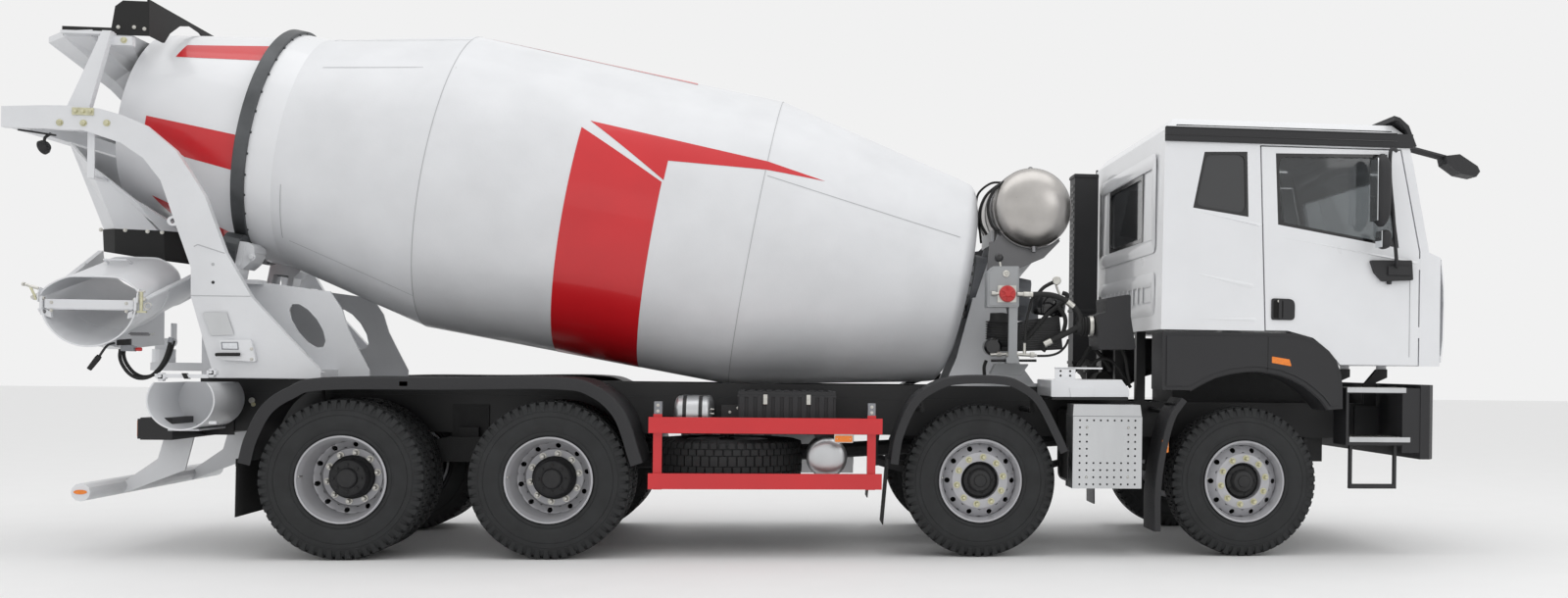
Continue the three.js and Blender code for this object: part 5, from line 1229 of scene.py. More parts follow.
def make_spare_wheel():
    piece = Piece("spare_wheel_look")
    centre = at(-3.73, -0.62, 0.67)
    add_tyre(piece, centre, (0, 0, 1))
    rim = [(0.296, -0.128), (0.286, -0.132), (0.276, -0.112), (0.262, -0.1), (0.252, 0.095), (0.268, 0.105),
           (0.278, 0.118), (0.288, 0.136), (0.296, 0.132)]
    piece.lathe(rim, centre, (0, 0, 1), RIM, sides=72)
    add_holed_disc(piece, centre, (0, 0, 1), (0.11, 0.01), (0.258, 0.03), 10, 0.024, RIM)
    piece.lathe([(0, 0.145), (0.05, 0.145), (0.06, 0.138), (0.06, 0.02), (0, 0.02)], centre, (0, 0, 1), BLACK,
                sides=24)
    piece.tube([centre + Vector((0, 0, 0.13)), at(-3.73, -0.62, 0.85)], 0.022, BLACK, sides=12)
    piece.done("chassis", "tyre", "spare_wheel", angle=40)


make_spare_wheel()


def make_fuel_tank_trim():
    """Straps, the filler cap and the sender on the tank."""
    piece = Piece("fuel_tank_trim")
    low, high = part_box("fuel_tank")
    for x in (low.x + 0.22, (low.x + high.x) / 2, high.x - 0.22):
        ring = []
        for grow in (0.001, 0.004):
            ring.append(rounded([(0.62 - grow, 0.47 - grow), (1.23 + grow, 0.47 - grow),
                                 (1.23 + grow, 1.06 + grow), (0.62 - grow, 1.06 + grow)], 0.02, 4))
        rows = []
        for outline, dx in ((ring[1], -0.03), (ring[1], 0.03), (ring[0], 0.03), (ring[0], -0.03)):
            rows.append([Vector((x + dx, y, z)) for y, z in outline])
        piece.shell(rows + [rows[0]], STEEL, 0, closed=True)
        piece.bolt(Vector((x, 1.2345, 0.62)), (0, 1, 0), 0.01, 0.012, ZINC)
    piece.lathe([(0, 0), (0.052, 0), (0.052, 0.022), (0.044, 0.034), (0, 0.036)],
                Vector((high.x - 0.42, 1.1, 1.06)), (0, 0, 1), BLACK, sides=40)
    piece.disc(Vector((high.x - 0.75, 0.95, 1.06)), (0, 0, 1), 0.035, 0.012, ZINC, sides=24)
    for x in (low.x + 0.001, high.x - 0.001):
        face = 1 if x > (low.x + high.x) / 2 else -1
        outline = rounded([(0.68, 0.53), (1.17, 0.53), (1.17, 1.0), (0.68, 1.0)], 0.05, 5)
        piece.prism(outline, "x", x, x + face * 0.006, ALUMINIUM)
    piece.done("chassis", "aluminium", bevel=0.002)


make_fuel_tank_trim()


def make_air_intake():
    """The tall stack behind the cab: a slotted grille towards the drum and a ribbed outside."""
    piece = Piece("air_intake_trim")
    low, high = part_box("air_intake")
    x0, x1, y1, z1 = low.x, high.x, high.y, high.z
    for k in range(20):
        z = z1 - 0.1 - k * 0.052
        piece.box((x0 - 0.006, 0.845, z - 0.012), (x0 + 0.002, y1 - 0.025, z + 0.008), BLACK)
    for k in range(20):
        z = z1 - 0.1 - k * 0.052
        piece.box((x0 + 0.03, y1 - 0.002, z - 0.012), (x1 - 0.03, y1 + 0.006, z + 0.008), BLACK)
    for z in (z1 - 0.02, z1 - 1.16, 1.4):
        piece.box((x0 - 0.008, 0.815, z - 0.012), (x1 + 0.002, y1 + 0.008, z + 0.012), PLASTIC)
    piece.curve([(x0 + 0.1, 0.83, 1.36), (x0 + 0.1, 0.7, 1.34), (x0 + 0.12, 0.5, 1.25),
                 (x0 + 0.16, 0.3, 1.25)], 0.075, RUBBER, steps=8, sides=20)
    piece.done("chassis", "black_plastic", bevel=0.003)


make_air_intake()


# ---------------------------------------------------------------- chutes

CHUTE_X = -7.87
CHUTE_SIDE = [(1.0, 0.0), (0.985, 0.17), (0.93, 0.37), (0.83, 0.56), (0.68, 0.73), (0.5, 0.866), (0.26, 0.965),
              (0.0, 1.0)]
ARCH_SIDE = [(1.0, 0.0), (0.985, 0.16), (0.94, 0.36), (0.85, 0.56), (0.72, 0.76), (0.57, 0.91), (0.43, 0.985),
             (0.0, 1.0)]


def trough_row(side, x, y, z, half, depth, lean=0.0):
    """One row across a trough, from rim to rim; a negative depth makes an arch."""
    line = [(half * u, -depth * v) for u, v in side]
    line += [(-u, v) for u, v in reversed(line[:-1])]
    return [at(x + u, y + lean * v, z + v) for u, v in line]


def trough(piece, side, x, head, end, material, rows=8, lean=0.0):
    """A sheet between two ends given as (y, z, half width, depth); the first end may lean."""
    def between(t):
        y, z, half, depth = (a + (b - a) * t for a, b in zip(head, end))
        return trough_row(side, x, y, z, half, depth, lean * (1 - t))
    piece.shell([between(k / rows) for k in range(rows + 1)], material, 0.005)


def add_main_chute():
    piece = Piece("main_chute_look")
    head, end = (0.06, 2.13, 0.46, 0.33), (-1.215, 1.712, 0.297, 0.3)
    trough(piece, CHUTE_SIDE, CHUTE_X, head, end, WELDED)
    for sign in (-1, 1):
        rows = []
        for y in (-1.14, -0.74, -0.34, 0.06):
            t = (head[0] - y) / (head[0] - end[0])
            z, half = head[1] + (end[1] - head[1]) * t, head[2] + (end[2] - head[2]) * t
            rows.append([at(CHUTE_X + sign * (half + out), y, z - down)
                         for out, down in ((-0.003, 0.0), (0.03, 0.0), (0.03, 0.014))])
        piece.shell(rows, WELDED, 0.004)
    # The near end's rolled edge, the bar across and its lower flange.
    ring = [(u * 0.297, -v * 0.297) for u, v in CHUTE_SIDE]
    ring += [(-u, v) for u, v in reversed(ring[:-1])]
    piece.curve([at(CHUTE_X + u, -1.212, 1.712 + v) for u, v in ring], 0.006, WELDED, steps=3, sides=8)
    piece.block((CHUTE_X - 0.27, -1.2, 1.7), (CHUTE_X + 0.27, -1.168, 1.722), WELDED)
    piece.block((CHUTE_X - 0.275, -1.206, 1.662), (CHUTE_X + 0.275, -1.2, 1.722), WELDED)
    piece.block((CHUTE_X - 0.265, -1.2, 1.655), (CHUTE_X + 0.265, -1.185, 1.664), WELDED)
    for sign in (-1, 1):
        x = CHUTE_X + sign * 0.262
        for dz in (0.0, -0.052):
            piece.bolt(at(x - sign * 0.03, -1.206, 1.7 + dz), (0, -1, 0), 0.008, 0.008, ZINC)
        # Hinge block and its pin.
        low, high = sorted((CHUTE_X + sign * 0.284, CHUTE_X + sign * 0.3))
        block = [(low, 1.655), (high, 1.655), (high, 1.74), (low, 1.74)]
        piece.plate(block, -1.222, -1.14, WELDED, 0.004, 3)
        piece.disc(at(CHUTE_X + sign * 0.275, -1.203, 1.726), (sign, 0, 0), 0.012, 0.07, ZINC, sides=20)
        # The lever's yoke under the hinge block.
        yoke = [(CHUTE_X + sign * u, v) for u, v in ((0.235, 1.6), (0.3, 1.618), (0.322, 1.655), (0.3, 1.668),
                                                     (0.24, 1.64))]
        piece.plate(yoke, -1.199, -1.17, WELDED)
        piece.bolt(at(CHUTE_X + sign * 0.281, -1.199, 1.64), (0, -1, 0), 0.01, 0.01, STEEL)
    # Stiffening straps across the underside and the support rib down to the arm.
    for y in (-0.8, -0.3):
        t = (0.06 - y) / 1.275
        z, half, depth = (a + (b - a) * t for a, b in zip(head[1:], end[1:]))
        line = [(u * (half + 0.006), -v * (depth + 0.006)) for u, v in CHUTE_SIDE]
        line += [(-u, v) for u, v in reversed(line[:-1])]
        rows = [[at(CHUTE_X + u, y + dy, z + v) for u, v in line] for dy in (-0.022, 0.022)]
        piece.shell(rows, WELDED, 0.008)
    for sign in (-1, 1):
        low, high = sorted((CHUTE_X + sign * 0.06, CHUTE_X + sign * 0.076))
        lug = rounded([(-0.036, 1.44), (-0.01, 1.432), (0.014, 1.432), (0.036, 1.446), (0.036, 1.6),
                       (-0.036, 1.6)], 0.008, 3)
        piece.rib(lug, low, high, WELDED)
    # The long black lever under the near end.
    piece.curve([at(-7.77, -1.06, 1.44), at(-7.8, -1.1, 1.42), at(-7.842, -1.11, 1.352)], 0.008, BLACK)
    piece.lathe([(0, 0), (0.016, 0.0), (0.019, 0.02), (0.016, 0.11), (0, 0.113)], at(-7.842, -1.11, 1.352),
                (-0.065, 0, -0.09), RUBBER, sides=16)
    piece.done("main_chute", "white_paint", "main_chute", bevel=0.0015)


def add_extension_chute():
    piece = Piece("extension_chute_look")
    near, far = (-1.203, 1.728, 0.312, -0.15), (-0.488, 1.899, 0.292, -0.15)
    # The near end leans back so that it clears the chute's end when it is swung out.
    trough(piece, ARCH_SIDE, CHUTE_X, near, far, WELDED, lean=0.36)
    for row in (trough_row(ARCH_SIDE, CHUTE_X, *near, 0.36), trough_row(ARCH_SIDE, CHUTE_X, *far)):
        piece.curve(row, 0.0065, WELDED, steps=3, sides=8)
    for sign in (-1, 1):
        low, high = sorted((CHUTE_X + sign * 0.303, CHUTE_X + sign * 0.311))
        ear = rounded([(-1.229, 1.702), (-1.175, 1.702), (-1.15, 1.79), (-1.2, 1.8), (-1.229, 1.76)], 0.012, 4)
        piece.rib(ear, low, high, WELDED)
        # A zinc plate with its lever on the left, a latch pin with its ring on the right.
        plate = [(CHUTE_X + sign * u, v) for u, v in ((0.304, 1.735), (0.352, 1.72), (0.358, 1.738),
                                                      (0.306, 1.765))]
        piece.plate(plate, -1.216, -1.208, ZINC)
    piece.tube([at(-8.19, -1.215, 1.715), at(-8.212, -1.215, 1.765), at(-8.232, -1.215, 1.808)], 0.008, BRASSY)
    piece.curve([at(-8.18, -1.21, 1.79), at(-8.225, -1.215, 1.803), at(-8.262, -1.215, 1.815)], 0.01, ZINC)
    piece.lathe([(0, 0), (0.013, 0.002), (0.013, 0.016), (0, 0.018)], at(-8.262, -1.215, 1.815), (-1, 0, 0.2),
                ZINC, sides=14)
    piece.tube([at(-7.541, -1.215, 1.64), at(-7.541, -1.215, 1.778)], 0.011, BRASSY, sides=16)
    piece.tube([at(-7.562, -1.215, 1.778), at(-7.518, -1.215, 1.782)], 0.007, ZINC)
    piece.block((-7.566, -1.222, 1.64), (-7.509, -1.204, 1.652), BRASSY)
    ring = [at(-7.5 + 0.021 * math.cos(a), -1.215 + 0.004 * math.sin(a), 1.685 + 0.021 * math.sin(a))
            for a in (2 * math.pi * k / 20 for k in range(19))]
    piece.tube(ring, 0.004, ZINC, sides=8)
    # The grab handle on top.
    def on_top(x, y, up):
        return at(x, y, near[1] + 0.15 + (y - near[0]) * (far[1] - near[1]) / (far[0] - near[0]) + up)

    feet = [on_top(-7.965, -0.7, -0.002), on_top(-7.965, -0.76, 0.03), on_top(-7.965, -0.78, 0.034)]
    other = [p + Vector((0.15, 0, 0)) for p in reversed(feet)]
    piece.tube([*feet, *other], 0.007, WELDED, sides=12)
    piece.done("extension_chute", "white_paint", "extension_chute", bevel=0.0015)


def add_chute_fittings():
    piece = Piece("chute_fittings")
    # The beam under the chute, then the return spring, the valve and the hose loop.
    beam = [(-1.03, 1.425), (-0.96, 1.47), (-0.34, 1.668), (-0.13, 1.682), (-0.13, 1.44), (-0.78, 1.4)]
    piece.rib(beam, CHUTE_X - 0.052, CHUTE_X + 0.052, WELDED)
    piece.tube([at(-7.71, -0.99, 1.503), at(-7.57, -0.99, 1.502)], 0.004, STEEL)
    coils, corners = 14, 10
    coil = []
    for k in range(coils * corners + 1):
        a = 2 * math.pi * k / corners
        x = -7.7 + 0.12 * k / (coils * corners)
        coil.append(at(x, -0.99 + 0.01 * math.cos(a), 1.503 + 0.01 * math.sin(a)))
    piece.tube(coil, 0.0028, STEEL, sides=6)
    piece.tube([at(-7.57, -0.99, 1.502), at(-7.552, -0.99, 1.504), at(-7.545, -0.99, 1.512)], 0.004, ZINC)
    valve = [(-7.745, 1.387), (-7.662, 1.385), (-7.66, 1.42), (-7.69, 1.428), (-7.745, 1.425)]
    piece.plate(valve, -1.03, -0.98, GREY, 0.005, 3)
    piece.lathe([(0, 0), (0.011, 0), (0.013, 0.018), (0.012, 0.036), (0, 0.04)], at(-7.656, -1.005, 1.4),
                (1, 0, 0), RED_KNOB, sides=18)
    for dy, spread in ((0.0, 0.0), (0.03, 0.012)):
        loop = [(-7.765, 1.4), (-7.768, 1.345), (-7.749, 1.29), (-7.704, 1.232), (-7.643, 1.204),
                (-7.574, 1.218), (-7.514, 1.278), (-7.475, 1.353), (-7.448, 1.45)]
        piece.curve([at(x + spread, -0.98 + dy, z + spread) for x, z in loop], 0.0115, RUBBER, steps=6,
                    sides=12)
    piece.disc(at(-7.455, -0.97, 1.44), (0.25, 0, 1), 0.017, 0.045, GREY, sides=14)
    piece.plate([(-7.778, 1.462), (-7.69, 1.47), (-7.69, 1.428), (-7.778, 1.424)], -1.01, -0.99, BLACK)
    piece.done("main_chute", "white_paint", bevel=0.0012)


def add_spare_chute():
    piece = Piece("spare_chute_look")
    x, z = -7.325, 1.212
    middle_y = -0.865
    # A near full round trough with its far end closed.
    turns = [math.radians(142 + k * (256 / 44)) for k in range(45)]
    ring = [(x + 0.012 + 0.212 * math.cos(a), 1.06 + 0.196 * math.sin(a)) for a in turns]
    rows = [[at(u, y, v) for u, v in ring] for y in (-1.15, -1.0, -0.72, -0.58)]
    piece.plate(ring, -0.64, -0.63, WELDED)
    piece.shell(rows, WELDED, 0.005)
    piece.curve(rows[0], 0.006, WELDED, steps=1, sides=8)
    piece.block((x - 0.15, -1.16, z), (x + 0.19, -1.135, z + 0.026), WELDED)
    for dx, dz in ((-0.11, 0.01), (0.21, 0.04)):
        for low, high, thick in ((-0.03, 0.03, 0.018), (-0.016, 0.016, 0.034)):
            shape = [(x + dx + low, z + dz - thick), (x + dx + high, z + dz - thick),
                             (x + dx + high, z + dz + thick * 0.7), (x + dx + low, z + dz + thick * 0.7)]
            piece.plate(shape, -1.17, -1.12, WELDED, 0.008, 3)
        piece.disc(at(x + dx, -1.168, z + dz), (0, -1, 0), 0.01, 0.02, WELDED, sides=16)
    strap = [(x + 0.02, z + 0.032), (x + 0.05, z + 0.032), (x + 0.068, z - 0.006), (x + 0.038, z - 0.006)]
    piece.plate(strap, -1.165, -1.128, RUBBER)
    piece.block((x + 0.195, -1.165, 0.905), (x + 0.245, -1.13, 0.925), WELDED)
    piece.block((x - 0.1, middle_y - 0.2, 0.855), (x + 0.1, middle_y + 0.28, 0.868), WELDED)
    piece.block((-7.36, -0.6, 0.99), (-7.31, -0.43, 1.016), WELDED)
    piece.done("chassis", "white_paint", "spare_chute", bevel=0.0015)


add_main_chute()
add_extension_chute()
add_chute_fittings()
add_spare_chute()


# ---------------------------------------------------------------- the rear end

def paint_faces(name, material, chosen):
    """Gives another material to the faces of a kept part whose middles are chosen."""
    thing = frame["nodes"][name]
    thing.data.materials.append(material)
    index = len(thing.data.materials) - 1
    for face in thing.data.polygons:
        if chosen(thing.matrix_world @ face.center):
            face.material_index = index


bpy.context.view_layer.update()
paint_faces("charging_hopper", RUBBER,
            lambda p: p.z > 3.612 or (p.z > 3.5 and (0.755 < abs(p.y) < 0.7755 or p.x > at(-7.72, 0, 0).x)))
paint_faces("discharge_funnel", RUBBER, lambda p: p.z < 2.262)


def add_rear_details(side):
    word = "right" if side < 0 else "left"
    piece = Piece(f"rear_details_{word}")
    out = (0, side, 0)
    # Bolted plates on the arm and at the head of the post.
    plate = [(-8.102, 2.973), (-7.964, 2.973), (-7.964, 3.023), (-8.102, 3.023)]
    piece.plate(plate, side * 0.951, side * 0.957, BRASSY, 0.004, 2)
    for x, z in ((-8.079, 2.997), (-8.033, 2.999), (-7.984, 3.0)):
        piece.bolt(at(x, side * 0.957, z), out, 0.012, 0.012, BRASSY)
    for x, z in ((-8.18, 2.919), (-8.03, 2.92), (-7.882, 2.925)):
        piece.bolt(at(x, side * 0.951, z), out, 0.016, 0.014, BRASSY)
    for x, z in ((-7.954, 3.509), (-7.825, 3.51)):
        piece.bolt(at(x, side * 0.842, z), out, 0.015, 0.013, BRASSY)
    head = [(-7.99, 3.476), (-7.771, 3.476), (-7.771, 3.538), (-7.99, 3.538)]
    piece.plate(head, side * 0.786, side * 0.842, WELDED, 0.006, 2)
    # Bolts along the skirt and the guard.
    for x, z in ((-8.131, 2.244), (-7.969, 2.246), (-7.82, 2.24), (-7.723, 2.236)):
        piece.bolt(at(x, side * 0.436, z), out, 0.01, 0.009, ZINC)
    for x, z in ((-7.89, 3.612), (-7.787, 3.615), (-7.72, 3.606)):
        piece.bolt(at(x, side * 0.776, z), out, 0.009, 0.008, ZINC)
    # The eye on the arm's rear edge, the plugged hole, the mark and the welded seam.
    ring = [(0.04 * math.cos(a), 0.034 * math.sin(a)) for a in (2 * math.pi * k / 24 for k in range(24))]
    hole = [(0.016 * math.cos(a), 0.018 * math.sin(a)) for a in (2 * math.pi * k / 24 for k in range(24))]
    side_frame(piece, shifted([(-7.452 + u, 2.275 + v) for u, v in ring]),
               shifted([(-7.456 + u, 2.275 + v) for u, v in hole]), side * 0.935, side * 0.949, WELDED)
    piece.disc(at(-7.189, side * 0.95, 1.862), out, 0.011, 0.0012, BLACK, sides=18)
    piece.lathe([(0.006, 0), (0.011, 0.001), (0.011, 0.002), (0, 0.002)], at(-7.191, side * 0.95, 1.985), out,
                SEAM, sides=18)
    piece.tube([at(-7.33, side * 0.95, 1.77), at(-6.945, side * 0.95, 1.772)], 0.003, SEAM, sides=8)
    piece.tube([at(-7.315, side * 0.95, 2.105), at(-7.29, side * 0.95, 2.118), at(-7.115, side * 0.95, 2.062)],
               0.0035, SEAM, sides=8)
    # Cowl over the roller.
    cowl = [(-7.262, 2.0), (-7.262, 2.165), (-7.229, 2.184), (-7.062, 2.161), (-7.025, 2.134), (-7.02, 2.09),
            (-7.05, 2.02), (-7.101, 1.973), (-7.153, 1.994)]
    piece.plate(cowl, side * 0.42, side * 0.66, WELDED, 0.012, 3)
    piece.bolt(at(-7.04, side * 0.662, 2.06), out, 0.02, 0.018, WELDED)
    piece.bolt(at(-7.118, side * 0.662, 2.0), out, 0.012, 0.012, WELDED)
    piece.done("chassis", "white_paint", bevel=0.0012)


def add_right_controls():
    """The blank plate and the small control box on the right of the rear support."""
    piece = Piece("rear_controls")
    plate = [(-7.195, 1.5), (-7.045, 1.507), (-7.097, 1.661), (-7.249, 1.656)]
    piece.plate(plate, -0.962, -0.957, ALUMINIUM, 0.006, 2)
    box = [(-7.118, 1.335), (-6.892, 1.326), (-6.929, 1.476), (-7.131, 1.47)]
    piece.plate(box, -0.99, -0.952, WHITE, 0.01, 3)
    window = [(-7.113, 1.405), (-7.002, 1.405), (-7.008, 1.459), (-7.119, 1.457)]
    piece.plate(window, -0.9925, -0.99, GREY, 0.004, 2)
    inner = [(-7.106, 1.412), (-7.01, 1.412), (-7.014, 1.452), (-7.11, 1.45)]
    piece.plate(inner, -0.9935, -0.9925, LENS, 0.003, 2)
    piece.curve([at(-7.146, -1.003, 1.37), at(-7.12, -1.008, 1.372), at(-7.06, -1.01, 1.373),
                 at(-6.99, -1.006, 1.374)], 0.012, RUBBER, sides=12)
    piece.tube([at(-7.05, -0.99, 1.373), at(-7.05, -1.01, 1.373)], 0.01, ZINC)
    for x, z in ((-6.921, 1.412), (-6.92, 1.342)):
        piece.bolt(at(x, -0.99, z), (0, -1, 0), 0.008, 0.007, ZINC)
    # Fittings on the frame's end.
    for x, z in ((-7.368, 1.056), (-7.193, 1.058), (-7.102, 1.047)):
        piece.bolt(at(x, -0.434, z), (0, -1, 0), 0.015, 0.016, ZINC)
        piece.bolt(at(x + 0.01, -0.434, z - 0.028), (0, -1, 0), 0.011, 0.02, BRASSY)
    # Work lamp under the right arm.
    piece.lathe([(0, -0.035), (0.03, -0.032), (0.047, -0.01), (0.05, 0.012), (0.046, 0.016), (0.04, 0.012),
                 (0, 0.012)], at(-8.348, -0.8, 2.77), (-0.9, 0.2, -0.35), PLASTIC, sides=32)
    piece.lathe([(0, 0.013), (0.039, 0.013), (0.03, 0.017), (0, 0.018)], at(-8.348, -0.8, 2.77),
                (-0.9, 0.2, -0.35), LENS, sides=32)
    piece.curve([at(-8.345, -0.8, 2.8), at(-8.34, -0.8, 2.835), at(-8.3, -0.81, 2.862)], 0.01, BLACK)
    piece.curve([at(-8.5, -0.83, 2.88), at(-8.4, -0.825, 2.868), at(-8.262, -0.82, 2.85)], 0.007, BLACK)
    piece.done("chassis", "white_paint", bevel=0.0012)


def add_tail():
    piece = Piece("tail_lamps")
    for side in (-1, 1):
        # Lamp cluster on the tail beam's rear face.
        body = sorted((side * 0.56, side * 0.96))
        piece.block((-7.66, body[0], 0.795), (-7.626, body[1], 0.93), PLASTIC)
        for start, end, lens in ((0.575, 0.685, LENS), (0.695, 0.815, RED_LENS), (0.825, 0.945, AMBER)):
            near, far = sorted((side * start, side * end))
            piece.block((-7.668, near, 0.808), (-7.66, far, 0.917), lens)
        # Reflectors on the ends of the guard tube.
        outline = [(-7.92 + 0.042 * math.cos(a), 0.452 + 0.015 * math.sin(a))
                   for a in (2 * math.pi * k / 28 for k in range(28))]
        piece.plate(outline, side * 1.181, side * 1.186, AMBER)
        piece.lathe([(0, 0), (0.04, 0), (0.04, 0.008), (0, 0.01)], at(-7.981, side * 0.85, 0.455), (-1, 0, 0),
                    RED_LENS, sides=28)
    piece.block((-7.634, -0.27, 0.805), (-7.626, 0.27, 0.925), ALUMINIUM)
    piece.done("chassis", "black_plastic", bevel=0.0015)


both(add_rear_details)
add_right_controls()
add_tail()


# ---------------------------------------------------------------- behind the cab

TANK_AT = (-1.476, 0, 2.56)


def add_water_tank():
    piece = Piece("water_tank_look")
    dome = [(0.0, 0.642), (0.06, 0.64), (0.12, 0.631), (0.18, 0.614), (0.23, 0.588), (0.268, 0.556),
            (0.29, 0.52), (0.296, 0.495)]
    barrel = [(0.3, 0.495), (0.3, 0.482), (0.297, 0.48)]
    half = dome + barrel
    profile = half + [(r, -a) for r, a in reversed(half)]
    piece.lathe(profile, at(*TANK_AT), (0, 1, 0), STAINLESS, sides=96)
    for y in (-0.49, -0.245, 0.0, 0.245, 0.49):
        piece.lathe([(0.296, -0.006), (0.3015, -0.003), (0.3015, 0.003), (0.296, 0.006)],
                    at(TANK_AT[0], y, TANK_AT[2]), (0, 1, 0), STEEL, sides=96, closed=True)
    for y in (-0.36, 0.36):
        piece.band(at(TANK_AT[0], y, TANK_AT[2]), (0, 1, 0), 0.3, 0.304, -0.025, 0.025, STEEL, sides=96)
    ring = [at(-1.463 + 0.02 * math.cos(a), -0.3, 2.872 + 0.02 * math.sin(a))
            for a in (2 * math.pi * k / 20 for k in range(21))]
    piece.tube(ring, 0.005, STEEL, sides=8)
    piece.lathe([(0, -0.04), (0.055, -0.04), (0.055, 0.012), (0.05, 0.02), (0, 0.022)], at(-1.476, 0.12, 2.866),
                (0, 0, 1), STEEL, sides=32)
    piece.disc(at(-1.47, -0.545, 2.262), (0, -0.2, -1), 0.016, 0.045, STEEL, sides=16)
    piece.done("chassis", "bare_steel", "water_tank", bevel=0.0015)


def add_saddles():
    piece = Piece("tank_saddles")
    cradle = [(TANK_AT[0] + 0.306 * math.cos(a), TANK_AT[2] + 0.306 * math.sin(a))
              for a in (math.radians(-138 + k * 4.5) for k in range(21))]
    outline = [(-1.803, 2.292), (-1.76, 2.3), *cradle, (-1.262, 2.31), (-1.385, 2.181), (-1.577, 2.097),
               (-1.819, 2.057)]
    for y0, y1 in ((-0.5, -0.49), (0.49, 0.5)):
        piece.plate(outline, y0, y1, SADDLE_GREY)
    for edges in ((-0.535, -0.455), (0.455, 0.535)):
        rows = [[at(x, y, z) for x, z in cradle] for y in edges]
        piece.shell(rows, SADDLE_GREY, 0.006)
    piece.done("chassis", "black_paint", bevel=0.0015)


def add_valve_box():
    piece = Piece("valve_box")
    outline = [(-1.862, 1.786), (-1.629, 1.79), (-1.632, 2.089), (-1.822, 2.085), (-1.862, 2.04)]
    piece.plate(outline, -0.89, -0.72, BOX_GREY, 0.008, 3)
    piece.plate(inset(outline[::-1], 0.012)[::-1], -0.896, -0.889, BOX_GREY, 0.008, 3)
    plate = [(-1.79, 1.822), (-1.65, 1.824), (-1.652, 1.948), (-1.788, 1.946)]
    piece.plate(plate, -0.904, -0.895, ZINC, 0.006, 3)
    knob = [(0, -0.002), (0.06, 0.0), (0.062, 0.01), (0.056, 0.024), (0.024, 0.03), (0.02, 0.038), (0, 0.04)]
    piece.lathe(knob, at(-1.717, -0.903, 1.885), (0, -1, 0), RED_KNOB, sides=40)
    for k in range(6):
        a = math.radians(30 + 60 * k)
        piece.tube([at(-1.717 + r * math.cos(a), -0.935, 1.885 + r * math.sin(a)) for r in (0.012, 0.05)],
                   0.006, RED_KNOB)
    piece.lathe([(0.01, 0), (0.026, 0), (0.026, 0.006), (0.02, 0.01), (0.01, 0.006)],
                at(-1.727, -0.895, 2.031), (0, -1, 0), ZINC, sides=28, closed=True)
    piece.bolt(at(-1.727, -0.896, 2.031), (0, -1, 0), 0.011, 0.01, ZINC)
    piece.tube([at(-1.757, -0.82, 2.085), at(-1.766, -0.815, 2.135)], 0.008, ZINC)
    piece.lathe([(0, -0.034), (0.02, -0.028), (0.032, -0.01), (0.032, 0.01), (0.02, 0.028), (0, 0.034)],
                at(-1.771, -0.812, 2.152), (0, 0, 1), GLOSS, sides=28)
    piece.block((-1.7, -0.88, 1.425), (-1.636, -0.84, 1.79), BOX_GREY)
    piece.block((-1.715, -0.884, 1.38), (-1.622, -0.78, 1.425), BOX_GREY)
    # Fittings and pipes.
    for start, end, radius in (((-1.645, 1.884), (-1.6, 1.883), 0.017),
                               ((-1.6, 1.883), (-1.53, 1.882), 0.022),
                               ((-1.812, 1.886), (-1.78, 1.886), 0.012),
                               ((-1.834, 1.886), (-1.806, 1.886), 0.018)):
        piece.tube([at(start[0], -0.9, start[1]), at(end[0], -0.9, end[1])], radius, ZINC, sides=18)
    piece.tube([at(-1.83, -0.85, 1.44), at(-1.7, -0.85, 1.447), at(-1.489, -0.85, 1.44)], 0.012, ZINC)
    piece.tube([at(-1.825, -0.85, 1.398), at(-1.489, -0.85, 1.402)], 0.01, BLACK)
    for x in (-1.764, -1.7, -1.64, -1.52):
        piece.tube([at(x - 0.016, -0.85, 1.444), at(x + 0.016, -0.85, 1.444)], 0.02, ZINC, sides=6)
    piece.tube([at(-1.578, -0.85, 1.445), at(-1.578, -0.85, 1.53)], 0.013, ZINC)
    # A gauge on its pipe.
    piece.lathe([(0, 0), (0.029, 0), (0.032, 0.006), (0.032, 0.022), (0.028, 0.026), (0, 0.024)],
                at(-1.339, -0.8, 1.993), (0, -1, 0), ZINC, sides=32)
    piece.tube([at(-1.339, -0.79, 1.965), at(-1.325, -0.79, 1.925), at(-1.31, -0.79, 1.89)], 0.009, ZINC)
    piece.done("chassis", "black_paint", bevel=0.0015)


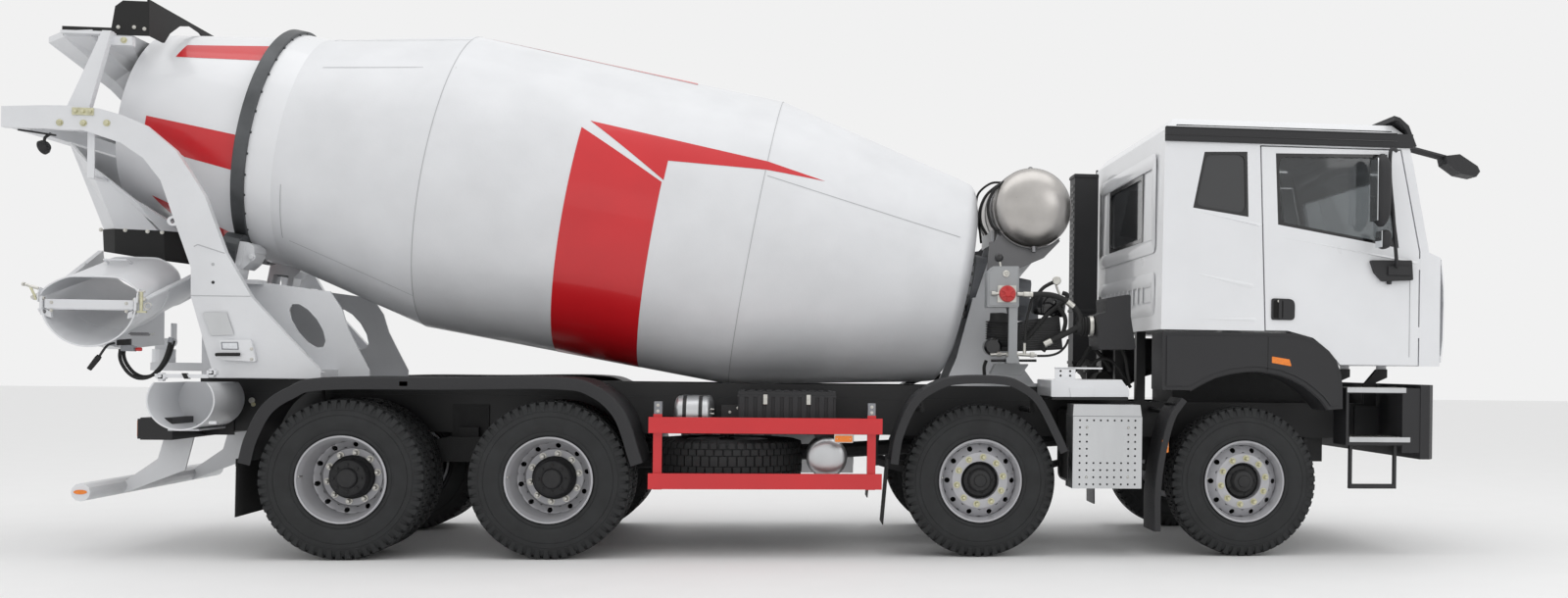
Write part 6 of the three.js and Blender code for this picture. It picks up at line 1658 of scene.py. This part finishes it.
def add_hoses():
    piece = Piece("rear_cab_hoses")
    runs = [
        (-0.9, 0.021, [(-1.53, 1.883), (-1.46, 1.886), (-1.382, 1.88), (-1.3, 1.852), (-1.245, 1.812),
                       (-1.2, 1.77), (-1.176, 1.715), (-1.19, 1.66), (-1.24, 1.625), (-1.3, 1.592),
                       (-1.415, 1.533)]),
        (-0.87, 0.01, [(-1.525, 1.87), (-1.545, 1.8), (-1.562, 1.72), (-1.576, 1.64), (-1.578, 1.53)]),
        (-0.85, 0.016, [(-1.33, 1.8), (-1.29, 1.745), (-1.276, 1.7), (-1.282, 1.65), (-1.305, 1.596),
                        (-1.39, 1.546), (-1.44, 1.47)]),
        (-0.8, 0.014, [(-1.5, 1.85), (-1.474, 1.893), (-1.437, 1.938), (-1.39, 1.968), (-1.352, 1.985)]),
        (-0.79, 0.017, [(-1.56, 1.56), (-1.48, 1.65), (-1.4, 1.745), (-1.33, 1.8), (-1.27, 1.85),
                        (-1.255, 1.89), (-1.29, 1.905)]),
        (-0.88, 0.009, [(-1.489, 1.436), (-1.4, 1.44), (-1.33, 1.462), (-1.28, 1.51), (-1.258, 1.56)]),
        (-0.2, 0.009, [(-1.664, 2.781), (-1.757, 2.772), (-1.848, 2.698), (-1.869, 2.606), (-1.855, 2.52),
                       (-1.845, 2.45), (-1.827, 2.307)]),
        (-0.35, 0.011, [(-1.679, 2.757), (-1.737, 2.729), (-1.814, 2.656), (-1.856, 2.552), (-1.85, 2.449),
                        (-1.804, 2.36)]),
        (-0.5, 0.011, [(-1.693, 2.751), (-1.77, 2.685), (-1.813, 2.589), (-1.812, 2.5), (-1.779, 2.411),
                       (-1.727, 2.374)]),
        (-0.62, 0.013, [(-1.83, 1.4), (-1.845, 1.35), (-1.842, 1.29), (-1.835, 1.23)]),
        (-0.7, 0.016, [(-1.2, 1.3), (-1.12, 1.4), (-1.06, 1.5), (-0.98, 1.45), (-0.9, 1.33)]),
        (-0.76, 0.012, [(-1.1, 1.32), (-1.0, 1.42), (-0.9, 1.4), (-0.82, 1.3), (-0.76, 1.21)]),
        (-0.82, 0.013, [(-0.98, 1.6), (-0.88, 1.54), (-0.82, 1.44), (-0.8, 1.33), (-0.78, 1.24)]),
    ]
    for y, radius, line in runs:
        piece.curve([at(x, y, z) for x, z in line], radius, RUBBER, steps=6, sides=12)
    for x, y, z, axis in ((-1.415, -0.9, 1.533, (-1, 0, -0.5)), (-1.25, -0.9, 1.818, (1, 0, -0.8))):
        piece.lathe([(0, -0.03), (0.024, -0.03), (0.024, 0.03), (0, 0.03)], at(x, y, z), axis, ZINC, sides=16)
    piece.done("chassis", "black_plastic")


def add_cooler():
    """Oil cooler, pump motor and filter behind the cab."""
    piece = Piece("oil_cooler")
    outline = [(-1.605, 1.47), (-1.269, 1.488), (-1.298, 1.741), (-1.55, 1.7), (-1.605, 1.66)]
    piece.plate(outline, -0.72, -0.33, BLACK, 0.015, 3)
    for k in range(12):
        z = 1.495 + 0.017 * k
        piece.block((-1.59, -0.726, z), (-1.3, -0.719, z + 0.006), GLOSS)
    piece.lathe([(0, 0), (0.12, 0.0), (0.13, 0.02), (0.13, 0.1), (0.112, 0.14), (0.06, 0.16), (0, 0.165)],
                at(-1.37, -0.59, 1.745), (0.1, -0.1, 1), GLOSS, sides=40)
    piece.lathe([(0, 0), (0.085, 0), (0.105, 0.03), (0.105, 0.17), (0.09, 0.2), (0.09, 0.25), (0, 0.26)],
                at(-1.725, -0.6, 1.5), (0.05, 0, 1), CAST, sides=36)
    for k in range(9):
        piece.lathe([(0.1, 0), (0.114, 0.002), (0.114, 0.008), (0.1, 0.01)],
                    at(-1.722, -0.6, 1.535 + 0.018 * k), (0.05, 0, 1), CAST, sides=36, closed=True)
    piece.lathe([(0, -0.02), (0.05, -0.02), (0.066, 0.0), (0.066, 0.1), (0.05, 0.12), (0, 0.12)],
                at(-1.8, -0.76, 1.5), (0, 1, 0), GLOSS, sides=36)
    piece.block((-1.76, -0.7, 1.47), (-1.6, -0.52, 1.5), CAST)
    elbow = [(-1.07, 1.744), (-1.055, 1.487), (-0.779, 1.491), (-0.82, 1.736), (-0.822, 1.896), (-1.009, 1.862),
             (-1.0, 1.76)]
    piece.plate(elbow[::-1], -1.0, -0.64, PLASTIC, 0.02, 3)
    for k in range(5):
        piece.lathe([(0.06, 0), (0.074, 0.004), (0.074, 0.012), (0.06, 0.016)],
                    at(-1.085 - 0.02 * k, -0.86, 1.66), (1, 0, 0), RUBBER, sides=36, closed=True)
    piece.disc(at(-1.2, -0.86, 1.66), (1, 0, 0), 0.062, 0.17, RUBBER, sides=36)
    piece.band(at(-1.105, -0.86, 1.66), (1, 0, 0), 0.06, 0.076, 0, 0.03, ZINC, sides=36)
    gutter = [(-1.804, 1.298), (-1.575, 1.288), (-1.512, 1.377), (-1.767, 1.374)]
    piece.plate(gutter, -0.66, -0.56, BOX_GREY, 0.006, 2)
    piece.done("chassis", "black_paint", bevel=0.002)


def add_lid_box():
    piece = Piece("lid_box")
    outline = [(-1.42, 1.142), (-0.848, 1.147), (-0.848, 1.196), (-0.905, 1.271), (-1.42, 1.265)]
    piece.plate(outline, -1.1, -0.48, WHITE, 0.008, 3)
    piece.block((-1.41, -1.085, 1.122), (-0.85, -0.49, 1.143), BLACK)
    holder = [(-1.275, 1.143), (-1.114, 1.145), (-1.115, 1.211), (-1.288, 1.209)]
    piece.plate(holder, -1.107, -1.099, WHITE, 0.006, 3)
    bracket = [(-1.385, 1.264), (-1.236, 1.264), (-1.236, 1.35), (-1.385, 1.348)]
    piece.plate(bracket, -1.058, -1.05, WHITE, 0.004, 2)
    # The bracket's four holes are flat discs in painted shade.
    for x in (-1.345, -1.275):
        for z in (1.295, 1.328):
            piece.disc(at(x, -1.0585, z), (0, -1, 0), 0.008, 0.001, RECESS_SHADE, sides=14)
    piece.block((-1.385, -1.058, 1.344), (-1.038, -1.03, 1.356), WHITE)
    piece.done("chassis", "white_paint", bevel=0.0015)


paint_faces("side_guard", BLACK, lambda p: p.y > -1.2175)


def add_rail_groove_shade(side):
    word = "right" if side < 0 else "left"
    piece = Piece(f"drip_groove_shade_{word}")
    # The three black strips along the top of the cab stand for the drip rail's grooves: painted shade.
    piece.block((-0.636, side * 1.24, 3.028), (1.09, side * 1.2448, 3.033), GLOSS)
    piece.block((-0.636, side * 1.24, 3.08), (1.09, side * 1.244, 3.09), PLASTIC)
    piece.block((-0.636, side * 1.24, 2.984), (1.09, side * 1.244, 2.99), PLASTIC)
    piece.done("cab", "black_plastic", bevel=0.001)


both(add_rail_groove_shade)
add_water_tank()
add_saddles()
add_valve_box()
add_hoses()
add_cooler()
add_lid_box()
